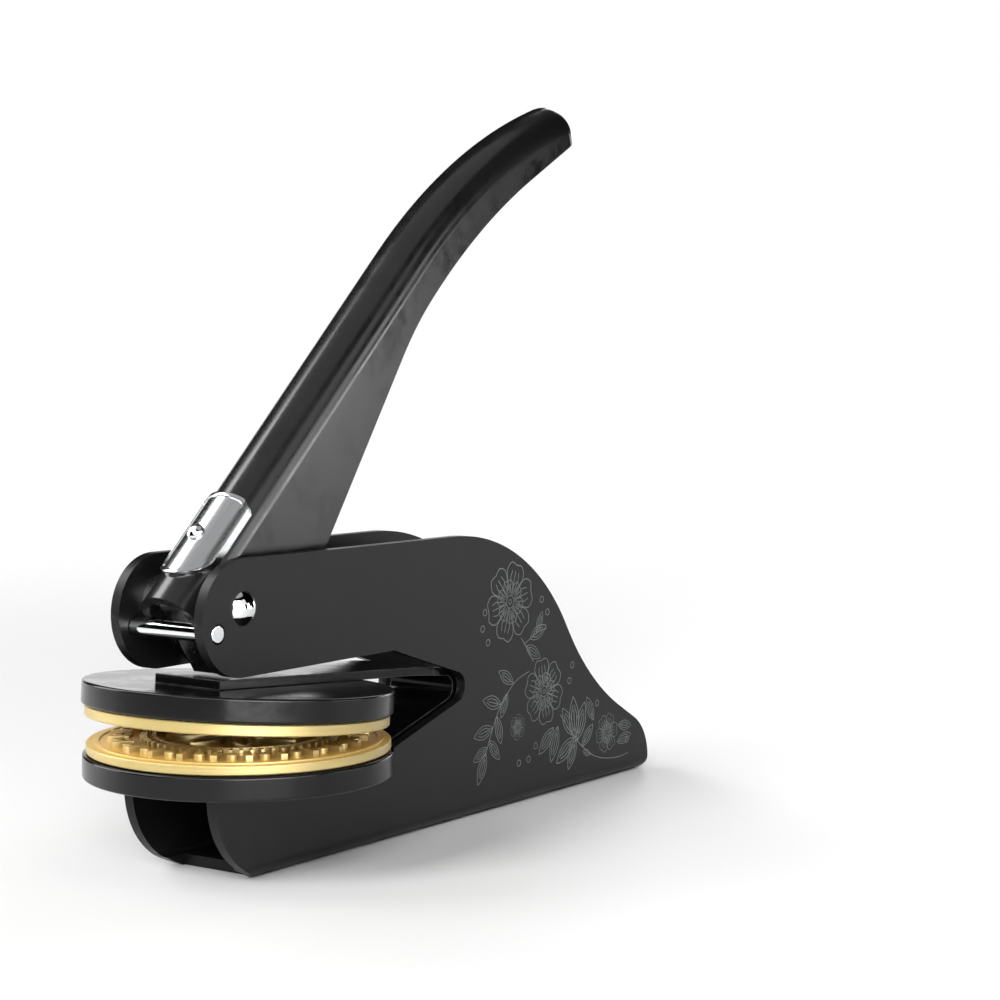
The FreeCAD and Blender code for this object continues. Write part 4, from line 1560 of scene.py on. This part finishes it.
@dataclass
class DieStack:
    """Holders, pads and dies of both jaws, in millimetres. A mark is a raised form of the lower die."""

    holder_radius: float = 21.0
    holder_edge: float = 0.32
    die_radius: float = 20.5
    die_edge: float = 0.22
    pad_radius: float = 19.9
    pad_edge: float = 0.04
    lower_holder_z: float = 12.6
    lower_pad_z: float = 15.8
    lower_die_z: float = 15.95
    face_z: float = 17.25
    upper_pad_z: float = 19.05
    upper_holder_z: float = 19.2
    upper_top_z: float = 22.4
    relief: float = 0.8
    sink: float = 0.1
    rim_radius: float = 19.1
    rim_width: float = 0.7
    rim_height: float = 0.2
    circle_width: float = 0.5
    border_radius: float = 16.2
    border_marks: int = 24
    bar_length: float = 2.8
    bar_width: float = 0.9
    bar_edge: float = 0.09
    bead_radius: float = 0.75
    bead_edge: float = 0.2
    tick_radius: float = 12.9
    tick_length: float = 0.9
    tick_width: float = 0.45
    ticks: int = 60
    circle_radius: float = 11.4
    petals: int = 8
    petal_inner: float = 2.6
    petal_outer: float = 9.8
    petal_width: float = 2.7
    petal_wall: float = 0.5
    petal_edge: float = 0.07
    ring_edge: float = 0.08
    hub_radius: float = 1.5
    hub_edge: float = 0.15

    @property
    def opened(self) -> Matrix:
        """Turn of the upper jaw from shut to rest."""
        about = Vector(FLEX_AT)
        return (Matrix.Translation(about) @ Matrix.Rotation(math.radians(JAW_TILT), 4, "Y")
                @ Matrix.Translation(-about))

    def disc(self, name: str, radius: float, low: float, high: float, edge: float) -> Workpiece:
        """Flat disc between two heights, with eased rims."""
        return puck(name, Vector((0.0, 0.0, low)), UP, radius, high - low, edge, steps=144, chord=0.09)

    def ring(self, radius: float, width: float, height: float) -> Workpiece:
        """Mark in the shape of a ring.

        Args:
            radius: Radius of its middle.
            width: Its width.
            height: Height of its top over the face.

        Returns:
            The solid ring.
        """
        inner, outer = radius - width / 2, radius + width / 2
        return turned("die_ring", Vector((0.0, 0.0, self.face_z)), UP, [
            (inner, -self.sink, 0.0), (outer, -self.sink, 0.0), (outer, height, self.ring_edge),
            (inner, height, self.ring_edge)], steps=144, chord=0.09)

    def stud(self, name: str, x: float, radius: float, edge: float, steps: int) -> Workpiece:
        """Round mark at a distance from the centre."""
        return puck(name, Vector((x, 0.0, self.face_z)), UP, radius, self.relief, edge, -self.sink,
                    steps, chord=0.15)

    def bar(self, radius: float, length: float, width: float) -> Workpiece:
        """Mark in the shape of a bar that points at the centre, with eased top edges.

        Args:
            radius: Distance of its middle from the centre.
            length: Its length.
            width: Its width.

        Returns:
            The solid bar.
        """
        top = self.face_z + self.relief
        bar = Workpiece.block("die_bar", (radius - length / 2, -width / 2, self.face_z - self.sink),
                              (radius + length / 2, width / 2, top))
        bar.select(Element.EDGE, above(top - 0.01)).ease(self.bar_edge)
        return bar

    def petal_solid(self, grow: float, low: float, high: float) -> Workpiece:
        """Solid leaf shape between two arcs.

        Args:
            grow: Distance that it is larger by, all round.
            low: Height of its underside.
            high: Height of its top.

        Returns:
            The solid leaf.
        """
        inner, outer = self.petal_inner - grow, self.petal_outer + grow
        half, bulge = (outer - inner) / 2, self.petal_width / 2 + grow
        radius = (half ** 2 + bulge ** 2) / (2 * bulge)
        sweep = math.degrees(2 * math.asin(half / radius))
        mid = (inner + outer) / 2
        pen = Pen("die_petal", Plane(Vector((0.0, 0.0, low)), ALONG, ACROSS), (inner, 0.0))
        pen.arc((mid, radius - bulge), sweep).arc((mid, bulge - radius), sweep)
        return pen.close().extrude(UP * (high - low)).heal()

    def petal(self) -> Workpiece:
        """Mark in the shape of a hollow leaf.

        Returns:
            The solid leaf.
        """
        top = self.face_z + self.relief
        petal = self.petal_solid(0.0, self.face_z - self.sink, top)
        petal.combine(self.petal_solid(-self.petal_wall, self.face_z - 1.0, top + 1.0))
        petal.select(Element.EDGE, above(top - 0.01)).ease(self.petal_edge)
        return petal

    def marks(self) -> list[Workpiece]:
        """Raised work of the lower die.

        Returns:
            Its solids.
        """
        bead = self.stud("die_bead", self.border_radius, self.bead_radius, self.bead_edge, 20)
        petal = self.petal()
        hub = self.stud("die_hub", 0.0, self.hub_radius, self.hub_edge, 40)
        return [
            self.ring(self.rim_radius, self.rim_width, self.rim_height),
            self.ring(self.circle_radius, self.circle_width, self.relief),
            self.bar(self.border_radius, self.bar_length, self.bar_width).ring(self.border_marks),
            bead.ring(self.border_marks, first_deg=180.0 / self.border_marks),
            self.bar(self.tick_radius, self.tick_length, self.tick_width).ring(self.ticks),
            petal.ring(self.petals), hub]

    def mount(self, jaw: str, body: str, holder: tuple[float, float], pad: tuple[float, float],
              place: Matrix = Matrix()) -> None:
        """Makes the holder and the pad of one jaw.

        Args:
            jaw: lower or upper.
            body: Body of the jaw.
            holder: Lowest and highest height of the holder.
            pad: Lowest and highest height of the pad.
            place: Place of the jaw.
        """
        piece = self.disc(f"{jaw}_holder_round", self.holder_radius, *holder, self.holder_edge)
        piece.finish(FINISHES.holder, body, "holder_black", [f"{jaw}_holder"], place)
        piece = self.disc(f"{jaw}_pad_round", self.pad_radius, *pad, self.pad_edge)
        piece.finish(FINISHES.pad, body, "pad", [f"{jaw}_pad"], place)

    def lower_die(self) -> None:
        """Makes the lower die, turned on its sides and brushed on its flats, with painted shade darkening
        the brass of its sides.
        """
        die = self.disc("lower_die_relief", self.die_radius, self.lower_die_z, self.face_z, self.die_edge)
        die.join(self.marks()).activate()
        data = die.obj.data
        data.materials.clear()
        for finish in (FINISHES.brass_side_shaded, FINISHES.brass_face):
            data.materials.append(finish.material())
        die.select(Element.FACE, lambda f: abs(f.normal.z) > 0.9)
        die.obj.active_material_index = 1
        bpy.ops.object.material_slot_assign()
        die.finish(FINISHES.brass_side_shaded, "die_insert", "brass", ["lower_die"])

    def build(self) -> None:
        """Makes the holders, pads and dies."""
        self.mount("lower", "die_insert", (self.lower_holder_z, self.lower_pad_z),
                   (self.lower_pad_z, self.lower_die_z))
        self.lower_die()
        self.mount("upper", "upper_jaw", (self.upper_holder_z, self.upper_top_z),
                   (self.upper_pad_z, self.upper_holder_z), self.opened)
        # The whole upper die takes the turned brass, painted darker as shade.
        dress(FINISHES.brass_side_shaded_tilted, "upper_die")
        dress(FINISHES.screw, "upper_leaf_screws", "lower_leaf_screws")


@dataclass
class HairpinStrip:
    """Springy strip that carries both holders, in millimetres."""

    width: float = 11.5
    thickness: float = 1.3
    edge: float = 0.14
    front_x: float = -10.5
    low_z: float = 11.95
    ramp_start: float = 21.6
    ramp_deg: float = 16.4
    fall_deg: float = 7.0
    radius: float = 2.4
    flex_radius: float = 60.0
    seam_x: float = 36.5

    def strip(self, name: str, path: Sequence[Corner]) -> Workpiece:
        """Strip with a drawn centre line.

        Args:
            name: Name of the piece.
            path: Corners (x, z, radius) of the centre line.

        Returns:
            The solid strip.
        """
        pen = Pen(name, side_plane(self.width / 2), path[0][:2])
        piece = pen.through(path, closed=False, chord=0.5).piece
        piece.select(Element.EDGE).extrude(ACROSS * -self.width).heal()
        piece.modify("SOLIDIFY", thickness=self.thickness, offset=0.0, use_even_offset=True)
        return piece.heal().round_edges(self.edge)

    def build(self) -> None:
        """Makes the two halves of the strip, which meet behind the flex line."""
        flex_x, _, flex_z = FLEX_AT
        ramp, fall = math.radians(self.ramp_deg), math.radians(self.fall_deg)
        corner_x = (flex_z + flex_x * math.tan(fall) - self.low_z
                    + self.ramp_start * math.tan(ramp)) / (math.tan(ramp) + math.tan(fall))
        corner_z = self.low_z + (corner_x - self.ramp_start) * math.tan(ramp)
        seam = (self.seam_x, flex_z - (self.seam_x - flex_x) * math.tan(fall))
        lower = self.strip("strip_lower", [
            (self.front_x, self.low_z, 0.0), (self.ramp_start, self.low_z, self.radius),
            (corner_x, corner_z, self.radius), (*seam, 0.0)])
        lower.finish(FINISHES.strip, "die_insert", "leaf_black", ["lower_leaf"])
        tilt = math.radians(JAW_TILT)
        reach = flex_x - self.front_x
        front = (flex_x - reach * math.cos(tilt), flex_z + reach * math.sin(tilt))
        upper = self.strip("strip_upper", [(*seam, 0.0), (flex_x, flex_z, self.flex_radius), (*front, 0.0)])
        obj = upper.finish(FINISHES.strip, None, "leaf_black", ["upper_leaf"])
        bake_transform(obj)


# ---------------------------------------------------------------- studio, in metres


def direction(azimuth_deg: float, elevation_deg: float) -> Vector:
    """Way out from the object.

    Args:
        azimuth_deg: Angle round it. 0 is the near side, and 90 the rear.
        elevation_deg: Angle above the floor.

    Returns:
        The way, one metre long.
    """
    azimuth, elevation = math.radians(azimuth_deg), math.radians(elevation_deg)
    return Vector((math.sin(azimuth) * math.cos(elevation), -math.cos(azimuth) * math.cos(elevation),
                   math.sin(elevation)))


def seen_white(nodes: Nodes) -> bpy.types.NodeSocket:
    """Mask of the rays that show the background: camera, reflections and glass.

    Args:
        nodes: The tree that it is added to.

    Returns:
        The mask.
    """
    ray = nodes.add("ShaderNodeLightPath")
    return nodes.math("MAXIMUM", ray["Is Camera Ray"],
                      nodes.math("MAXIMUM", ray["Is Glossy Ray"], ray["Is Transmission Ray"]))


@dataclass(frozen=True)
class Lens:
    """Place and lens of the camera."""

    azimuth_deg: float = -55.39
    elevation_deg: float = 4.25
    roll_deg: float = 0.30
    place: tuple[float, float, float] = (-0.2444, -0.21127, 0.07358)
    focal_mm: float = 86.4
    sensor_mm: float = 36.0
    clip_start: float = 0.01
    clip_end: float = 20.0

    def build(self) -> None:
        """Adds the camera and makes it the scene's own."""
        azimuth, roll = math.radians(self.azimuth_deg), math.radians(self.roll_deg)
        back = direction(self.azimuth_deg, self.elevation_deg)
        right = Vector((math.cos(azimuth), math.sin(azimuth), 0.0))
        up = back.cross(right)
        level = right * math.cos(roll) + up * math.sin(roll)
        upright = up * math.cos(roll) - right * math.sin(roll)
        data = bpy.data.cameras.new("camera")
        data.lens, data.sensor_width = self.focal_mm, self.sensor_mm
        data.clip_start, data.clip_end = self.clip_start, self.clip_end
        camera = bpy.data.objects.new("camera", data)
        turn = Matrix((level, upright, back)).transposed().to_4x4()
        camera.matrix_world = Matrix.Translation(self.place) @ turn
        bpy.context.scene.collection.objects.link(camera)
        bpy.context.scene.camera = camera


@dataclass(frozen=True)
class Softbox:
    """Square soft lamp round the object."""

    azimuth_deg: float
    elevation_deg: float
    watts: float
    size: float = 0.4
    distance: float = 0.9
    aim: tuple[float, float, float] = (0.03, 0.0, 0.03)

    def build(self) -> None:
        """Adds the lamp. It lights surfaces, and the cards stand for it in reflections."""
        data = bpy.data.lights.new("softbox", "AREA")
        data.shape, data.size, data.energy = "SQUARE", self.size, self.watts
        lamp = bpy.data.objects.new("softbox", data)
        lamp.location = direction(self.azimuth_deg, self.elevation_deg) * self.distance
        lamp.rotation_euler = (Vector(self.aim) - lamp.location).to_track_quat("-Z", "Y").to_euler()
        lamp.visible_glossy = False
        bpy.context.scene.collection.objects.link(lamp)
        log.info("softbox at %g, %g: %.1f W", self.azimuth_deg, self.elevation_deg, self.watts)


@dataclass(frozen=True)
class Card:
    """Card of a plain tone that shows in reflections only, and gives gloss its contrast."""

    first_deg: float
    last_deg: float
    low_deg: float
    high_deg: float
    tone: float
    radius: float = 1.5
    height: float = 0.04

    def build(self) -> None:
        """Cuts the card out of a sphere."""
        clear_selection()
        bpy.ops.mesh.primitive_uv_sphere_add(segments=120, ring_count=60, radius=self.radius)
        card = Workpiece("card").select(Element.FACE, lambda f: not self.covers(middle(f)))
        bpy.ops.mesh.delete(type="FACE")
        card.set_down(Matrix.Translation((0.0, 0.0, self.height)))
        coat = Coat("card")
        coat.put(Base_Color=BLACK, Specular_IOR_Level=0.0, Emission_Color=WHITE,
                 Emission_Strength=self.tone)
        card.obj.data.materials.append(coat.material)
        for ray in ("camera", "diffuse", "transmission", "shadow", "volume_scatter"):
            setattr(card.obj, f"visible_{ray}", False)
        clear_selection()

    def covers(self, at: Vector) -> bool:
        """Says whether a place of the sphere lies in the card.

        Args:
            at: The place, from the middle of the sphere.

        Returns:
            Whether it does.
        """
        azimuth = math.degrees(math.atan2(at.x, -at.y))
        elevation = math.degrees(math.asin(at.z / at.length))
        return (azimuth - self.first_deg) % 360 < self.last_deg - self.first_deg and \
            self.low_deg < elevation < self.high_deg


@dataclass(frozen=True)
class Studio:
    """Pale floor, white backdrop, soft lamps, and the cards that gloss reflects."""

    world_strength: float = 0.02
    floor_color: Color = (0.80, 0.80, 0.80)
    floor_radius: float = 3.0
    floor_roughness: float = 0.55
    floor_gloss: float = 0.25
    fade_start: float = 0.09
    fade_end: float = 0.42
    middle: tuple[float, float] = (0.045, -0.01)
    lamps: tuple[Softbox, ...] = (
        Softbox(-100.0, 35.0, 7.0), Softbox(-55.0, 30.0, 5.0), Softbox(-10.0, 55.0, 1.0),
        Softbox(80.0, 25.0, 2.0), Softbox(170.0, 25.0, 2.0), Softbox(-150.0, 40.0, 2.5))
    cards: tuple[Card, ...] = (
        Card(-57.0, -12.0, -12.0, 9.0, 18.0),       # long low window on the left
        Card(-57.0, -12.0, 9.0, 21.0, 10.0),        # its dimmer upper edge
        Card(-12.0, 6.0, -12.0, 21.0, 6.0),         # where it fades to the near side
        Card(21.0, 39.0, -12.0, 0.0, 10.0),         # table edge on the right
        Card(21.0, 39.0, 0.0, 21.0, 3.0),           # wall above it
        Card(39.0, 51.0, -12.0, 6.0, 7.0),          # end of the table edge
        Card(75.0, 120.0, -12.0, 9.0, 4.0),         # low rear
        Card(99.0, 120.0, 9.0, 39.0, 4.0),          # rear wall
        Card(120.0, 150.0, -6.0, 12.0, 1.2),        # pale wall seen in the flat tops
        Card(180.0, 213.0, -12.0, 39.0, 5.0),       # far side
        Card(180.0, 240.0, 39.0, 60.0, 7.0),        # high far side
        Card(-102.0, -15.0, 21.0, 45.0, 6.0),       # overhead window on the left
        Card(-15.0, 21.0, 21.0, 45.0, 1.0),         # dim strip beside it
        Card(-180.0, 180.0, 60.0, 90.0, 0.4),       # dim ceiling
        Card(0.0, 360.0, -12.0, 90.0, 0.0, radius=1.7))  # black wall behind the cards

    def world(self) -> None:
        """Even dim light for surfaces, and white for the camera, reflections and glass."""
        world = bpy.data.worlds.new("studio")
        world.use_nodes = True
        nodes = Nodes(world.node_tree)
        shade = world.node_tree.nodes["Background"].inputs
        seen = nodes.math("MULTIPLY", seen_white(nodes), 1.0 - self.world_strength)
        nodes.feed(shade["Color"], WHITE)
        nodes.feed(shade["Strength"], nodes.math("ADD", self.world_strength, seen))
        bpy.context.scene.world = world

    def floor(self) -> None:
        """Pale floor that keeps the shadow near the object and fades to white away from it."""
        clear_selection()
        bpy.ops.mesh.primitive_circle_add(vertices=96, radius=self.floor_radius, fill_type="NGON")
        floor = bpy.context.object
        floor.name = "floor"
        coat = Coat("floor_white")
        coat.put(Base_Color=rgba(self.floor_color), Roughness=self.floor_roughness,
                 Specular_IOR_Level=self.floor_gloss)
        away = coat.add("ShaderNodeVectorMath", {0: coat.place, 1: (*self.middle, 0.0)},
                        operation="DISTANCE")["Value"]
        share = coat.math("MULTIPLY", coat.ramp(away, self.fade_start, self.fade_end), seen_white(coat))
        white = coat.add("ShaderNodeEmission", {"Color": WHITE, "Strength": 1.0})[0]
        mix = coat.add("ShaderNodeMixShader", {0: share, 1: coat.shader.outputs[0], 2: white})[0]
        coat.feed(coat.tree.nodes["Material Output"].inputs["Surface"], mix)
        floor.data.materials.append(coat.material)

    def build(self) -> None:
        """Sets up the whole studio."""
        self.world()
        self.floor()
        for item in self.cards + self.lamps:
            item.build()
        bpy.context.scene.view_settings.view_transform = "Standard"


def main() -> None:
    """Builds and dresses the embosser, then the studio."""
    logging.basicConfig(level=logging.INFO, format="%(name)s: %(message)s")
    lever = HandLever()
    for assembly in (FrameShell(), FloralLines(), PivotSet(), lever, Nameplate(lever), DieStack(),
                     HairpinStrip(), Studio(), Lens()):
        assembly.build()
        log.info("%s built", type(assembly).__name__)


if __name__ == "__main__":
    main()
